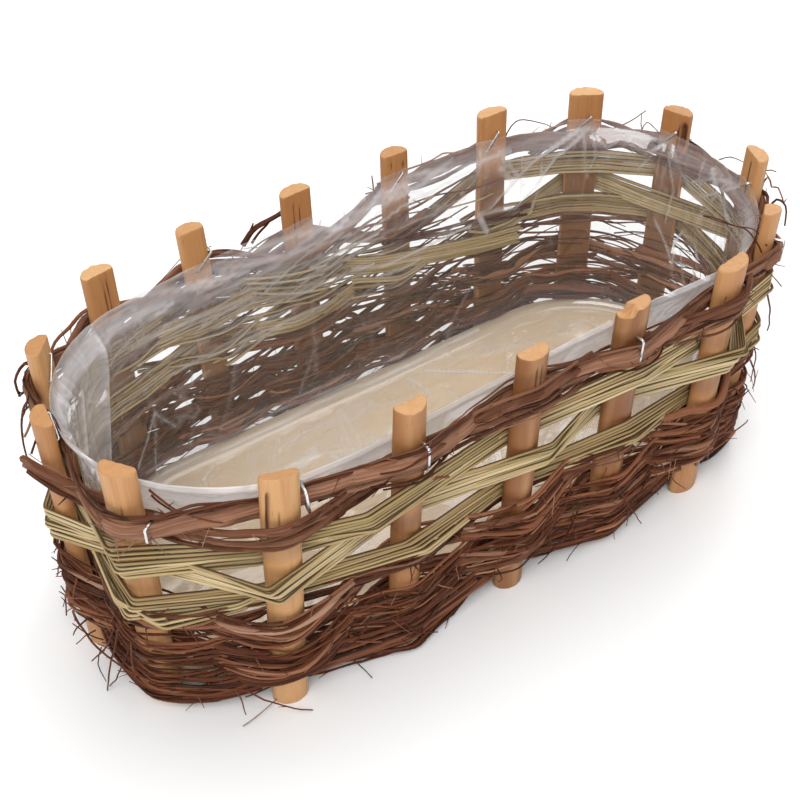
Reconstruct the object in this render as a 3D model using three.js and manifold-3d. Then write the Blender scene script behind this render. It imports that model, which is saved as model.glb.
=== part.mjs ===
// Long planter basket: half-round stakes nailed to a base board with round ends,
// eight woven courses (bark rods, rush and twigs), a film liner and wire staples.
// Millimetres, +Z up, +X along the length, -Y towards the front. z = 0 is the foot of the stakes.
import * as THREE from 'three';
import { mergeVertices } from 'three/addons/utils/BufferGeometryUtils.js';
import Module from 'manifold-3d';

const wasm = await Module();
wasm.setup();

// ---------------------------------------------------------------- driving dimensions
const PLAN_LENGTH = 351.8;      // line of the stakes' flat inner faces at z = 0
const PLAN_WIDTH = 137.6;       // the ends are full half circles
const FLARE = 0.0325;           // outward lean of the wall, mm per mm of height
const CLEAR = 0.3;              // gap between pieces that touch
const SHIFT = [1.13, 0.6];      // puts the middle of the outer box on the origin

const STAKE_DEPTH = 8.0;        // flat face to the crown of the round side
const STAKE_EDGE = 1.6;         // thickness at the two long edges

const BOARD_BOTTOM = 14.0;
const BOARD_TOP = 26.0;

const BAND_THICK = 5.0;         // radial thickness of a woven course
const TAIL = 8.0;               // free end of a course past its last stake

const FILM = 0.6;               // thickness of the liner
const LINER_RIM = 140.5;
const LINER_SHELF = 130.6;      // height where the film leaves the weave for the stakes

const NAIL_Z = 20.0;
const NAIL_R = 0.9;
const NAIL_HEAD_R = 1.5;
const NAIL_HEAD_T = 0.7;
const NAIL_IN_BOARD = 14.0;

const STAPLE_CROWN = 12.8;
const STAPLE_WIRE_T = 0.7;
const STAPLE_WIRE_W = 1.2;
const STAPLE_BITE = 4.4;        // depth of the legs in the wood

// number, place along the plan line from the middle of the front, height, width,
// lean along the wall (mm per mm), slope of the sawn top across and outward
const STAKES = [
  [1, 600.5, 149.4, 16.4, 0.0, -0.12, -0.08],
  [2, 551.9, 152.5, 16.7, -0.025, -0.05, -0.05],
  [3, 501.5, 154.6, 14.0, -0.05, 0.04, -0.06],
  [4, 449.1, 153.6, 16.4, -0.025, 0.04, -0.06],
  [5, 395.8, 154.0, 15.4, 0.0, -0.02, -0.04],
  [6, 336.1, 155.4, 17.8, 0.0, 0.0, -0.08],
  [7, 285.8, 154.5, 18.2, 0.0, 0.0, 0.0],
  [8, 241.6, 151.2, 16.6, 0.0, 0.0, -0.05],
  [9, 192.0, 154.6, 16.3, 0.0, 0.0, -0.1],
  [10, 155.7, 150.6, 16.0, 0.002, 0.25, 0.2],
  [11, 114.8, 146.8, 18.4, -0.0151, -0.08, -0.05],
  [12, 57.0, 151.4, 18.2, -0.0025, 0.0, 0.0],
  [13, 0.8, 151.0, 16.0, -0.006, 0.0, -0.05],
  [14, 799.4, 153.8, 15.4, 0.0, 0.0, -0.05],
  [15, 739.4, 148.2, 17.1, -0.0058, 0.1, 0.45],
  [16, 683.4, 149.8, 17.3, 0.0102, -0.08, 0.0],
  [17, 635.8, 143.6, 15.6, 0.0, 0.0, -0.05],
];

// name, outside at even places, height of the bundle, then its level where it passes
// outside a stake, midway between stakes, and inside a stake
const COURSES = [
  ['course_1_bark_rod', true, 10, 127, 126, 125],
  ['course_2_brown_twigs', false, 10, 121, 115, 114],
  ['course_3_rush', true, 12, 109, 103.2, 106],
  ['course_4_rush', false, 12, 94, 90.6, 92],
  ['course_5_rush', true, 13, 75, 77.4, 79],
  ['course_6_twigs', false, 13, 57, 63.8, 62],
  ['course_7_twigs', true, 14, 42, 49.6, 49],
  ['course_8_twigs', false, 13, 32, 35.4, 35],
];
// the courses run from stake 6 round the right end, the front and the left end to stake 5
const ROUND = [6, 7, 8, 9, 10, 11, 12, 13, 14, 15, 16, 17, 1, 2, 3, 4, 5];
const EVEN = new Set([6, 8, 10, 12, 14, 16, 1, 3, 5]);

// stake, place across the flat face, level, slant of the crown in degrees
const LINER_STAPLES = [
  [1, 0, 136.6, 46], [3, 3, 137.4, 43], [5, -2, 139.4, 46], [6, -2.4, 141.4, 50], [7, -1.1, 138.6, 46],
  [8, -2.2, 137.4, 47], [9, 0, 136.8, 44], [11, 0, 136.4, 42], [13, 0, 136.8, 45], [15, 1, 136.6, 46], [17, 0, 136.6, 43],
];
// stake, place across the round face
const RIM_STAPLES = [[16, -4.6], [14, -3.1], [12, 1.6], [10, 0], [8, 0]];

// ---------------------------------------------------------------- materials
const mat = (color, roughness, metalness = 0, opacity = 1) =>
  new THREE.MeshStandardMaterial({ color, roughness, metalness, opacity, transparent: opacity < 1 });
const WOOD = 0xc48a4c, BOARD = 0xd8c7a2, BARK = 0x6f4636, TWIG = 0x5a382c, RUSH = 0xb39a63;

// ---------------------------------------------------------------- plan line
const R = PLAN_WIDTH / 2;
const A = PLAN_LENGTH / 2 - R;
const PERIMETER = 4 * A + 2 * Math.PI * R;

function planAt(s) {
  s = ((s % PERIMETER) + PERIMETER) % PERIMETER;
  const arc = Math.PI * R;
  if (s <= A) return { p: [s, -R], n: [0, -1] };
  s -= A;
  if (s <= arc) { const a = -Math.PI / 2 + s / R; return { p: [A + R * Math.cos(a), R * Math.sin(a)], n: [Math.cos(a), Math.sin(a)] }; }
  s -= arc;
  if (s <= 2 * A) return { p: [A - s, R], n: [0, 1] };
  s -= 2 * A;
  if (s <= arc) { const a = Math.PI / 2 + s / R; return { p: [-A + R * Math.cos(a), R * Math.sin(a)], n: [Math.cos(a), Math.sin(a)] }; }
  s -= arc;
  return { p: [-A + s, -R], n: [0, -1] };
}

function stadium(offset) {
  const r = R + offset;
  const shape = new THREE.Shape();
  shape.moveTo(-A, -r);
  shape.lineTo(A, -r);
  shape.absarc(A, 0, r, -Math.PI / 2, Math.PI / 2, false);
  shape.lineTo(-A, r);
  shape.absarc(-A, 0, r, Math.PI / 2, 1.5 * Math.PI, false);
  return shape;
}

// ---------------------------------------------------------------- solids
function clean(geometry) {
  const g = geometry.clone();
  g.deleteAttribute('normal');
  g.deleteAttribute('uv');
  return mergeVertices(g, 1e-4);
}

function solid(geometry) {
  const g = clean(geometry);
  return new wasm.Manifold(new wasm.Mesh({
    numProp: 3,
    vertProperties: new Float32Array(g.attributes.position.array),
    triVerts: new Uint32Array(g.index.array),
  }));
}

function toGeometry(manifold) {
  const m = manifold.getMesh();
  const g = new THREE.BufferGeometry();
  g.setAttribute('position', new THREE.BufferAttribute(new Float32Array(m.vertProperties), 3));
  g.setIndex(new THREE.BufferAttribute(new Uint32Array(m.triVerts), 1));
  g.computeVertexNormals();
  return g;
}

function cut(geometry, cutters) {
  let body = solid(geometry);
  for (const c of cutters) body = body.subtract(solid(c));
  return toGeometry(body);
}

function bend(geometry, move) {
  const pos = geometry.attributes.position;
  const v = new THREE.Vector3();
  for (let i = 0; i < pos.count; i++) {
    v.fromBufferAttribute(pos, i);
    move(v);
    pos.setXYZ(i, v.x, v.y, v.z);
  }
  pos.needsUpdate = true;
  return geometry;
}

const basket = new THREE.Group();
basket.name = 'planter_basket';
basket.position.set(SHIFT[0], SHIFT[1], 0);

function add(parent, name, geometry, material) {
  const mesh = new THREE.Mesh(geometry, material);
  mesh.name = name;
  parent.add(mesh);
  return mesh;
}

const two = (n) => String(n).padStart(2, '0');

// Each stake has its own frame: x along the wall, y outward, z up, origin at the foot of its flat face.
const posts = new Map();
for (const [number, s, height, width, side, across, out] of STAKES) {
  const { p, n } = planAt(s);
  const group = new THREE.Group();
  group.position.set(p[0], p[1], 0);
  group.rotation.z = Math.atan2(-n[0], n[1]);
  group.updateMatrix();
  basket.add(group);
  posts.set(number, { number, height, width, side, across, out, n, p, group, holes: [] });
}

// ---------------------------------------------------------------- staples
function stapleGeometry(leg) {
  const h = STAPLE_CROWN / 2;
  const k = STAPLE_WIRE_T;
  const shape = new THREE.Shape();
  shape.moveTo(-h, 0);
  shape.lineTo(h, 0);
  shape.lineTo(h, leg);
  shape.lineTo(h - k, leg);
  shape.lineTo(h - k, k);
  shape.lineTo(-h + k, k);
  shape.lineTo(-h + k, leg);
  shape.lineTo(-h, leg);
  shape.closePath();
  const g = new THREE.ExtrudeGeometry(shape, { depth: STAPLE_WIRE_W, bevelEnabled: false });
  g.translate(0, 0, -STAPLE_WIRE_W / 2);
  return g;
}

function legHoles(leg) {
  const x = STAPLE_CROWN / 2 - STAPLE_WIRE_T / 2;
  return [-x, x].map((at) => {
    const g = new THREE.BoxGeometry(STAPLE_WIRE_T + 2 * CLEAR, leg + CLEAR, STAPLE_WIRE_W + 2 * CLEAR);
    g.translate(at, STAPLE_WIRE_T + (leg + CLEAR) / 2 - STAPLE_WIRE_T, 0);
    return g;
  });
}

// A frame on the leaning face of a stake: x along the crown, y along the legs.
function faceMatrix(post, u, level, w, slant, legsOut) {
  const up = new THREE.Vector3(post.side, FLARE, 1).normalize();
  const along = new THREE.Vector3(1, 0, 0);
  const crown = along.clone().multiplyScalar(Math.cos(slant)).addScaledVector(up, Math.sin(slant)).normalize();
  const leg = new THREE.Vector3(0, 1, -FLARE).multiplyScalar(legsOut ? 1 : -1);
  leg.addScaledVector(crown, -leg.dot(crown)).normalize();
  const third = new THREE.Vector3().crossVectors(crown, leg);
  return new THREE.Matrix4().makeBasis(crown, leg, third)
    .setPosition(u + post.side * level, w + FLARE * level, level);
}

const linerCuts = [];
const stapleMaterial = () => mat(0xc9ccd0, 0.3, 1);
for (const [number, u, level, slant] of LINER_STAPLES) {
  const post = posts.get(number);
  const back = CLEAR + FILM + 0.9 + STAPLE_WIRE_T;         // crown face to the wood, past the film
  const leg = back + STAPLE_BITE;
  const matrix = faceMatrix(post, u, level, -back, THREE.MathUtils.degToRad(slant), true);
  const g = stapleGeometry(leg).applyMatrix4(matrix);
  for (const hole of legHoles(leg)) {
    hole.applyMatrix4(matrix);
    post.holes.push(hole);
    linerCuts.push(hole.clone().applyMatrix4(post.group.matrix));
  }
  add(post.group, `liner_staple_${two(number)}`, g, stapleMaterial());
}
for (const [number, u] of RIM_STAPLES) {
  const post = posts.get(number);
  const level = COURSES[0][3];
  const out = STAKE_DEPTH + 0.2 + CLEAR + BAND_THICK + CLEAR + STAPLE_WIRE_T;
  const leg = out - STAKE_DEPTH + STAPLE_BITE;
  const matrix = faceMatrix(post, u, level, out, Math.PI / 2, false);
  const g = stapleGeometry(leg).applyMatrix4(matrix);
  for (const hole of legHoles(leg)) post.holes.push(hole.applyMatrix4(matrix));
  add(post.group, `rim_staple_${two(number)}`, g, stapleMaterial());
}

// ---------------------------------------------------------------- nails
const boardCuts = [];
for (const post of posts.values()) {
  const seat = STAKE_DEPTH + FLARE * NAIL_Z + 0.4;
  const tip = -NAIL_IN_BOARD;
  const profile = [
    new THREE.Vector2(0, tip - 2), new THREE.Vector2(NAIL_R, tip), new THREE.Vector2(NAIL_R, seat),
    new THREE.Vector2(NAIL_HEAD_R, seat), new THREE.Vector2(NAIL_HEAD_R, seat + NAIL_HEAD_T), new THREE.Vector2(0, seat + NAIL_HEAD_T),
  ];
  const nail = new THREE.LatheGeometry(profile, 6);
  nail.translate(post.side * NAIL_Z, 0, NAIL_Z);
  add(post.group, `base_nail_${two(post.number)}`, nail, mat(0x8f9094, 0.4, 1));

  const hole = new THREE.CylinderGeometry(NAIL_R + CLEAR + 0.1, NAIL_R + CLEAR + 0.1, seat + 2 - tip + 2.4, 6);
  hole.translate(post.side * NAIL_Z, (seat + 2 + tip - 2.4) / 2, NAIL_Z);
  post.holes.push(hole);
  boardCuts.push(hole.clone().applyMatrix4(post.group.matrix));
}

// ---------------------------------------------------------------- stakes
for (const post of posts.values()) {
  const h = post.width / 2;
  const shape = new THREE.Shape();
  shape.moveTo(-h, 0);
  shape.lineTo(h, 0);
  for (let i = 0; i <= 10; i++) {
    const a = (Math.PI * i) / 10;
    shape.lineTo(h * Math.cos(a), STAKE_EDGE + (STAKE_DEPTH - STAKE_EDGE) * Math.sin(a));
  }
  shape.closePath();
  const g = new THREE.ExtrudeGeometry(shape, { depth: post.height, bevelEnabled: false });
  bend(g, (v) => {
    if (v.z > 1) v.z += post.across * v.x + post.out * (v.y - STAKE_DEPTH / 2);
    v.x += post.side * v.z;
    v.y += FLARE * v.z;
  });
  add(post.group, `stake_${two(post.number)}`, cut(g, post.holes), mat(WOOD, 0.6));
}

// ---------------------------------------------------------------- base board
{
  const g = new THREE.ExtrudeGeometry(stadium(-CLEAR), { depth: BOARD_TOP - BOARD_BOTTOM, bevelEnabled: false, curveSegments: 9 });
  g.translate(0, 0, BOARD_BOTTOM);
  add(basket, 'base_board', cut(g, boardCuts), mat(BOARD, 0.7));
}

// ---------------------------------------------------------------- film liner
function shell(levels) {
  const g = new THREE.ExtrudeGeometry(stadium(0), { depth: levels.length - 1, steps: levels.length - 1, bevelEnabled: false, curveSegments: 9 });
  return bend(g, (v) => {
    const [z, off] = levels[Math.round(v.z)];
    const cx = Math.max(-A, Math.min(A, v.x));
    const dx = v.x - cx;
    const d = Math.hypot(dx, v.y);
    const r = R + off + FLARE * z;
    v.set(cx + (dx / d) * r, (v.y / d) * r, z);
  });
}
{
  const wall = -(CLEAR + BAND_THICK + CLEAR);
  const floor = BOARD_TOP + CLEAR;
  const outer = shell([[floor, wall - 1.2], [floor + 1.4, wall], [LINER_SHELF, wall], [LINER_SHELF + 1.6, -CLEAR], [LINER_RIM, -CLEAR]]);
  const inner = shell([[floor + FILM, wall - 1.2 - FILM], [floor + 1.4 + FILM, wall - FILM], [LINER_SHELF + 0.4, wall - FILM],
    [LINER_SHELF + 2.0, -CLEAR - FILM], [LINER_RIM + 2, -CLEAR - FILM]]);
  add(basket, 'liner', cut(outer, [inner, ...linerCuts]), mat(0xe6e8ea, 0.15, 0, 0.35));
}

// ---------------------------------------------------------------- woven courses
class CoursePath extends THREE.Curve {
  constructor(points) {
    super();
    this.points = points;
  }

  getUtoTmapping(u) {
    return u;
  }

  getPoint(t, target = new THREE.Vector3()) {
    const last = this.points.length - 1;
    const x = Math.max(0, Math.min(1, t)) * last;
    const i = Math.min(last - 1, Math.floor(x));
    return target.lerpVectors(this.points[i], this.points[i + 1], x - i);
  }

  // the section stays upright all the way round
  computeFrenetFrames(segments) {
    const tangents = [], normals = [], binormals = [];
    for (let i = 0; i <= segments; i++) {
      const t = this.getTangentAt(i / segments, new THREE.Vector3());
      const n = new THREE.Vector3(0, 0, -1).addScaledVector(t, t.z).normalize();
      tangents.push(t);
      normals.push(n);
      binormals.push(new THREE.Vector3().crossVectors(t, n));
    }
    return { tangents, normals, binormals };
  }
}

function place(post, u, w, z) {
  return new THREE.Vector3(u + post.side * z, w + FLARE * z, z).applyMatrix4(post.group.matrix);
}

const FLAT = STAKE_DEPTH + 0.2 + CLEAR + BAND_THICK / 2;     // middle of a bundle on the crown of a stake
const EDGE_OUT = FLAT - 1.2;                                // the same beside the stake
const BEHIND = -(CLEAR + BAND_THICK / 2);                   // middle of a bundle behind a stake

for (const [name, evenOutside, height, zOut, zMid, zIn] of COURSES) {
  const points = [];
  let before = null;
  ROUND.forEach((number, k) => {
    const post = posts.get(number);
    const outside = EVEN.has(number) === evenOutside;
    const e = post.width / 2 + 1;
    const z = outside ? zOut : zIn;
    const zEdge = z + 0.35 * (zMid - z);
    const w = outside ? EDGE_OUT : BEHIND;
    const enter = place(post, -e, w, zEdge);
    if (before) {
      for (const f of [0.25, 0.75]) {
        const m = before.clone().lerp(enter, f);
        m.z = zMid;
        points.push(m);
      }
    }
    if (k === 0) points.push(place(post, -e - TAIL, w, zEdge));
    points.push(enter, place(post, 0, outside ? FLAT : BEHIND, z));
    before = place(post, e, w, zEdge);
    points.push(before);
    if (k === ROUND.length - 1) points.push(place(post, e + TAIL, w, zEdge));
  });
  const section = new THREE.Shape();
  section.moveTo(-height / 2, -BAND_THICK / 2);
  section.lineTo(height / 2, -BAND_THICK / 2);
  section.lineTo(height / 2, BAND_THICK / 2);
  section.lineTo(-height / 2, BAND_THICK / 2);
  section.closePath();
  const g = new THREE.ExtrudeGeometry(section, { steps: points.length - 1, bevelEnabled: false, extrudePath: new CoursePath(points) });
  const color = name.includes('rush') ? RUSH : name.includes('bark') ? BARK : TWIG;
  add(basket, name, g, mat(color, 0.75));
}

export default basket;
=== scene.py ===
import math

import bmesh
import bpy
import numpy as np
from mathutils import Matrix, Vector, noise


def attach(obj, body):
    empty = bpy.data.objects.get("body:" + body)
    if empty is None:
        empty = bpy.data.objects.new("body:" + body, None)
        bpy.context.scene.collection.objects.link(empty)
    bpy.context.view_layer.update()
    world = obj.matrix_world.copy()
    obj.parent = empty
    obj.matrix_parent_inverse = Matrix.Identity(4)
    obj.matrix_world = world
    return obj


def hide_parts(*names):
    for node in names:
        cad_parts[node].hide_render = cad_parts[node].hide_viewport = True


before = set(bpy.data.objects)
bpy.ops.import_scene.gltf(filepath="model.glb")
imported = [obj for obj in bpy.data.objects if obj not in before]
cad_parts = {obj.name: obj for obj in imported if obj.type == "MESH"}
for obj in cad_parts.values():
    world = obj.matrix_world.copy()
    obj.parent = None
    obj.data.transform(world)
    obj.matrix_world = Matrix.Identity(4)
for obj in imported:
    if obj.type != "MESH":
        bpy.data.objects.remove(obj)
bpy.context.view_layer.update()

# ------------------------------------------------------------------ dimensions (mm, as in the construction)
PLAN_L, PLAN_W, FLARE = 351.8, 137.6, 0.0325
SHIFT = np.array([1.13, 0.6, 0.0])
R = PLAN_W / 2
A = PLAN_L / 2 - R
PERI = 4 * A + 2 * math.pi * R
DEPTH, EDGE = 8.0, 1.6
BOARD_Z = (14.0, 26.0)

# number: place on the plan line, height, width, lean along the wall, slope of the top across and outward
STAKES = {
    1: (600.5, 149.4, 16.4, 0.0, -0.12, -0.08),
    2: (551.9, 152.5, 16.7, -0.025, -0.05, -0.05),
    3: (501.5, 154.6, 14.0, -0.05, 0.04, -0.06),
    4: (449.1, 153.6, 16.4, -0.025, 0.04, -0.06),
    5: (395.8, 154.0, 15.4, 0.0, -0.02, -0.04),
    6: (336.1, 155.4, 17.8, 0.0, 0.0, -0.08),
    7: (285.8, 154.5, 18.2, 0.0, 0.0, 0.0),
    8: (241.6, 151.2, 16.6, 0.0, 0.0, -0.05),
    9: (192.0, 154.6, 16.3, 0.0, 0.0, -0.1),
    10: (155.7, 150.6, 16.0, 0.002, 0.25, 0.2),
    11: (114.8, 146.8, 18.4, -0.0151, -0.08, -0.05),
    12: (57.0, 151.4, 18.2, -0.0025, 0.0, 0.0),
    13: (0.8, 151.0, 16.0, -0.006, 0.0, -0.05),
    14: (799.4, 153.8, 15.4, 0.0, 0.0, -0.05),
    15: (739.4, 148.2, 17.1, -0.0058, 0.1, 0.45),
    16: (683.4, 149.8, 17.3, 0.0102, -0.08, 0.0),
    17: (635.8, 143.6, 15.6, 0.0, 0.0, -0.05),
}
# shade of each stake's wood, and how pale its sawn top is
WOOD = {1: (0.7, 0.1), 2: (0.35, 0.8), 3: (0.55, 0.35), 4: (0.25, 0.5), 5: (0.3, 0.15), 6: (0.5, 0.7), 7: (0.24, 0.8), 8: (0.22, 0.05), 9: (0.6, 0.5),
        10: (0.5, 0.4), 11: (0.42, 0.3), 12: (0.03, 0.3), 13: (0.08, 0.38), 14: (0.27, 0.42), 15: (0.75, 0.25), 16: (0.65, 0.2), 17: (0.4, 0.1)}
# cracks and slots: side of the stake, place across, lowest and highest point, width, depth
CRACKS = {
    2: [("in", 0.6, 112, 151, 0.36, 0.4), ("in", 2.6, 118, 150, 0.34, 0.35), ("in", 6.2, 128, 131, 1.1, 0.6)],
    4: [("in", -2.6, 120, 150, 0.4, 0.4), ("in", 0.6, 116, 148, 0.36, 0.35)],
    8: [("in", 5.2, 131, 147.5, 2.3, 3.0), ("in", 2.4, 118, 146, 0.5, 0.4)],
    9: [("in", 0.4, 100, 152, 0.8, 0.5)],
    5: [("in", 4.0, 144, 150, 0.9, 0.6), ("in", -3.0, 145, 151, 0.7, 0.6)],
    15: [("out", 6.2, 112, 142, 0.8, 2.4), ("out", 2.6, 106, 132, 0.35, 0.25)],
    13: [("out", 1.5, 126, 147, 0.4, 0.3), ("out", -1.2, 124, 148, 0.4, 0.3)],
    16: [("out", -2.0, 118, 136, 0.4, 0.25)],
    10: [("out", 1.0, 110, 134, 0.8, 0.5)],
}
ROUND = [6, 7, 8, 9, 10, 11, 12, 13, 14, 15, 16, 17, 1, 2, 3, 4, 5]
LINER_STAPLES = [
    (1, 0, 136.6, 46), (3, 3, 137.4, 43), (5, -2, 139.4, 46), (6, -2.4, 141.4, 50), (7, -1.1, 138.6, 46),
    (8, -2.2, 137.4, 47), (9, 0, 136.8, 44), (11, 0, 136.4, 42), (13, 0, 136.8, 45), (15, 1, 136.6, 46), (17, 0, 136.6, 43),
]
RIM_STAPLES = [(16, -15.2), (14, -3.1), (12, 1.6), (10, 0), (8, 0)]

RNG = np.random.default_rng(1207)


# ------------------------------------------------------------------ plan line
def plan(s):
    """Points and outward normals of the plan line at arc lengths s."""
    s = np.mod(np.asarray(s, float), PERI)
    arc = math.pi * R
    p = np.zeros(s.shape + (2,))
    n = np.zeros(s.shape + (2,))
    b = [A, A + arc, 3 * A + arc, 3 * A + 2 * arc]
    m = s <= b[0]
    p[m] = np.stack([s[m], np.full(m.sum(), -R)], -1)
    n[m] = (0, -1)
    m = (s > b[0]) & (s <= b[1])
    a = -math.pi / 2 + (s[m] - b[0]) / R
    n[m] = np.stack([np.cos(a), np.sin(a)], -1)
    p[m] = n[m] * R + (A, 0)
    m = (s > b[1]) & (s <= b[2])
    p[m] = np.stack([A - (s[m] - b[1]), np.full(m.sum(), R)], -1)
    n[m] = (0, 1)
    m = (s > b[2]) & (s <= b[3])
    a = math.pi / 2 + (s[m] - b[2]) / R
    n[m] = np.stack([np.cos(a), np.sin(a)], -1)
    p[m] = n[m] * R + (-A, 0)
    m = s > b[3]
    p[m] = np.stack([-A + (s[m] - b[3]), np.full(m.sum(), -R)], -1)
    n[m] = (0, -1)
    return p, n


S0 = STAKES[6][0]
STAKE_L = {}                     # distance of each stake from stake 6, the way the weave runs
for _k, _i in enumerate(ROUND):
    STAKE_L[_i] = (S0 - STAKES[_i][0]) % PERI
LK = np.array([STAKE_L[i] for i in ROUND])


def place(l, w, z):
    """Points at distance l along the weave, w outward of the stakes' flat faces, at height z."""
    l, w, z = np.broadcast_arrays(np.asarray(l, float), np.asarray(w, float), np.asarray(z, float))
    p, n = plan(S0 - l)
    q = p + n * (w + FLARE * z)[..., None]
    return np.concatenate([q, z[..., None]], -1)


def stake_frame(i):
    s, h, wd, side, across, out = STAKES[i]
    p, n = plan(np.array([s]))
    p, n = p[0], n[0]
    x = np.array([n[1], -n[0], 0.0])
    y = np.array([n[0], n[1], 0.0])
    return np.array([p[0], p[1], 0.0]), x, y


def on_stake(i, u, w, z):
    o, x, y = stake_frame(i)
    side = STAKES[i][3]
    u, w, z = (np.asarray(v, float) for v in (u, w, z))
    return o + x * (u + side * z)[..., None] + y * (w + FLARE * z)[..., None] + np.array([0, 0, 1.0]) * z[..., None]


# ------------------------------------------------------------------ meshes
class Builder:
    """Gathers tubes and patches into one mesh, with a texture place, a tint, a kind and a value at each point for
    painted shade (above zero) or a pale sawn top (below zero).
    """

    def __init__(self):
        self.v, self.f, self.mat = [], [], []
        self.data = {"loc": [], "tint": [], "kind": [], "painted_shade_and_pale_top": []}
        self.n = 0

    def add(self, verts, faces, loc, tint, mat=0, kind=0.0, painted_shade_and_pale_top=0.0):
        verts = np.asarray(verts, float)
        k = len(verts)
        self.v.append(verts)
        self.data["loc"].append(np.asarray(loc, float))
        for name, x in (("tint", tint), ("kind", kind), ("painted_shade_and_pale_top", painted_shade_and_pale_top)):
            self.data[name].append(np.broadcast_to(np.asarray(x, float), (k,)))
        n = self.n
        self.f += [[i + n for i in f] for f in faces]
        self.mat += [mat] * len(faces)
        self.n += k

    def tube(self, path, ra, rb=None, sides=6, mat=0, tint=0.5, twist=None, upright=True, lump=0.0, ridge=0.0, seed=0.0, painted_shade_and_pale_top=0.0):
        """A closed tube along a path (mm): ra is its half height, rb its half thickness."""
        path = np.array(path, float)
        k = len(path)
        ra = np.broadcast_to(np.asarray(ra, float), (k,))
        # nothing reaches below the surface that the basket stands on
        path[:, 2] = np.maximum(path[:, 2], 1.2 * ra + 0.15)
        rb = ra if rb is None else np.broadcast_to(np.asarray(rb, float), (k,))
        t = np.gradient(path, axis=0)
        t /= np.linalg.norm(t, axis=1)[:, None] + 1e-12
        if upright:
            v = np.array([0, 0, 1.0]) - t * t[:, 2:3]
            v /= np.linalg.norm(v, axis=1)[:, None] + 1e-9
        else:
            v = np.zeros_like(t)
            ref = np.array([0.3, 0.5, 0.81])
            c = ref - t[0] * (ref @ t[0])
            v[0] = c / np.linalg.norm(c)
            for i in range(1, k):
                c = v[i - 1] - t[i] * (v[i - 1] @ t[i])
                v[i] = c / (np.linalg.norm(c) + 1e-9)
        r = np.cross(t, v)
        if twist is not None:
            tw = np.broadcast_to(np.asarray(twist, float), (k,))
            c, s = np.cos(tw)[:, None], np.sin(tw)[:, None]
            v, r = v * c + r * s, r * c - v * s
        a = np.arange(sides) / sides * 2 * math.pi
        ca, sa = np.cos(a), np.sin(a)
        rad = np.ones((k, sides))
        d = np.r_[0, np.cumsum(np.linalg.norm(np.diff(path, axis=0), axis=1))]
        if lump or ridge:
            for i in range(k):
                for j in range(sides):
                    if lump:
                        rad[i, j] += lump * noise.noise(Vector((d[i] * 0.11 + seed, ca[j] * 0.9, sa[j] * 0.9 + seed)))
                    if ridge:
                        rad[i, j] += ridge * noise.noise(Vector((d[i] * 0.045 + seed, ca[j] * 3.6, sa[j] * 3.6 - seed)))
        ring = path[:, None, :] + (v[:, None, :] * ca[None, :, None] * (ra[:, None] * rad)[:, :, None]
                                   + r[:, None, :] * sa[None, :, None] * (rb[:, None] * rad)[:, :, None])
        dd = d * 0.001 + seed
        loc = np.stack([np.repeat(dd[:, None], sides, 1), np.broadcast_to(ca, (k, sides)), np.broadcast_to(sa, (k, sides))], -1)
        verts = np.concatenate([ring.reshape(-1, 3), path[:1] - t[:1] * rb[0] * 0.25, path[-1:] + t[-1:] * rb[-1] * 0.25])
        loc = np.concatenate([loc.reshape(-1, 3), [[dd[0], 0, 0], [dd[-1], 0, 0]]])
        idx = np.arange(k * sides).reshape(k, sides)
        nxt = np.roll(idx, -1, axis=1)
        faces = np.stack([idx[:-1], idx[1:], nxt[1:], nxt[:-1]], -1).reshape(-1, 4).tolist()
        c0, c1 = k * sides, k * sides + 1
        faces += [(c0, int(idx[0, j]), int(nxt[0, j])) for j in range(sides)]
        faces += [(c1, int(nxt[-1, j]), int(idx[-1, j])) for j in range(sides)]
        kind = np.zeros(len(verts))
        kind[[c0, c1]] = 1.0
        st = np.broadcast_to(np.asarray(painted_shade_and_pale_top, float), (k,))
        self.add(verts, faces, loc, tint, mat, kind, np.r_[np.repeat(st, sides), st[0], st[-1]])

    def mesh(self, name, materials, smooth=True):
        me = bpy.data.meshes.new(name)
        v = (np.concatenate(self.v) + SHIFT) * 0.001
        me.from_pydata(v.tolist(), [], self.f)
        for m in materials:
            me.materials.append(m)
        me.polygons.foreach_set("material_index", np.array(self.mat, np.int32))
        me.polygons.foreach_set("use_smooth", np.full(len(self.f), smooth))
        me.attributes.new("loc", "FLOAT_VECTOR", "POINT").data.foreach_set("vector", np.concatenate(self.data["loc"]).astype(np.float32).ravel())
        for a in ("tint", "kind", "painted_shade_and_pale_top"):
            me.attributes.new(a, "FLOAT", "POINT").data.foreach_set("value", np.concatenate(self.data[a]).astype(np.float32))
        me.update()
        ob = bpy.data.objects.new(name, me)
        bpy.context.scene.collection.objects.link(ob)
        return ob


def smooth1(y, half):
    """A short moving average that keeps the ends."""
    if half < 1:
        return y
    k = np.hanning(2 * half + 3)[1:-1]
    k /= k.sum()
    return np.convolve(np.pad(y, half, mode="edge"), k, mode="valid")


def wander(l, amp, waves, rng):
    """A slow drift made of a few long waves."""
    out = np.zeros_like(l)
    for wl in waves:
        out += np.sin(2 * math.pi * l / (wl * rng.uniform(0.75, 1.3)) + rng.uniform(0, 6.283)) * rng.uniform(0.5, 1.0)
    return out * amp / max(1, len(waves)) ** 0.5


def crook(l, amp, gap, rng):
    """A bent line, straight between its bends, as a grown twig has."""
    n = int((l[-1] - l[0]) / (0.5 * gap)) + 6
    knots = l[0] - gap + np.cumsum(rng.uniform(0.5, 1.5, n)) * gap
    return np.interp(l, knots, rng.normal(0, amp, n))


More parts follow.
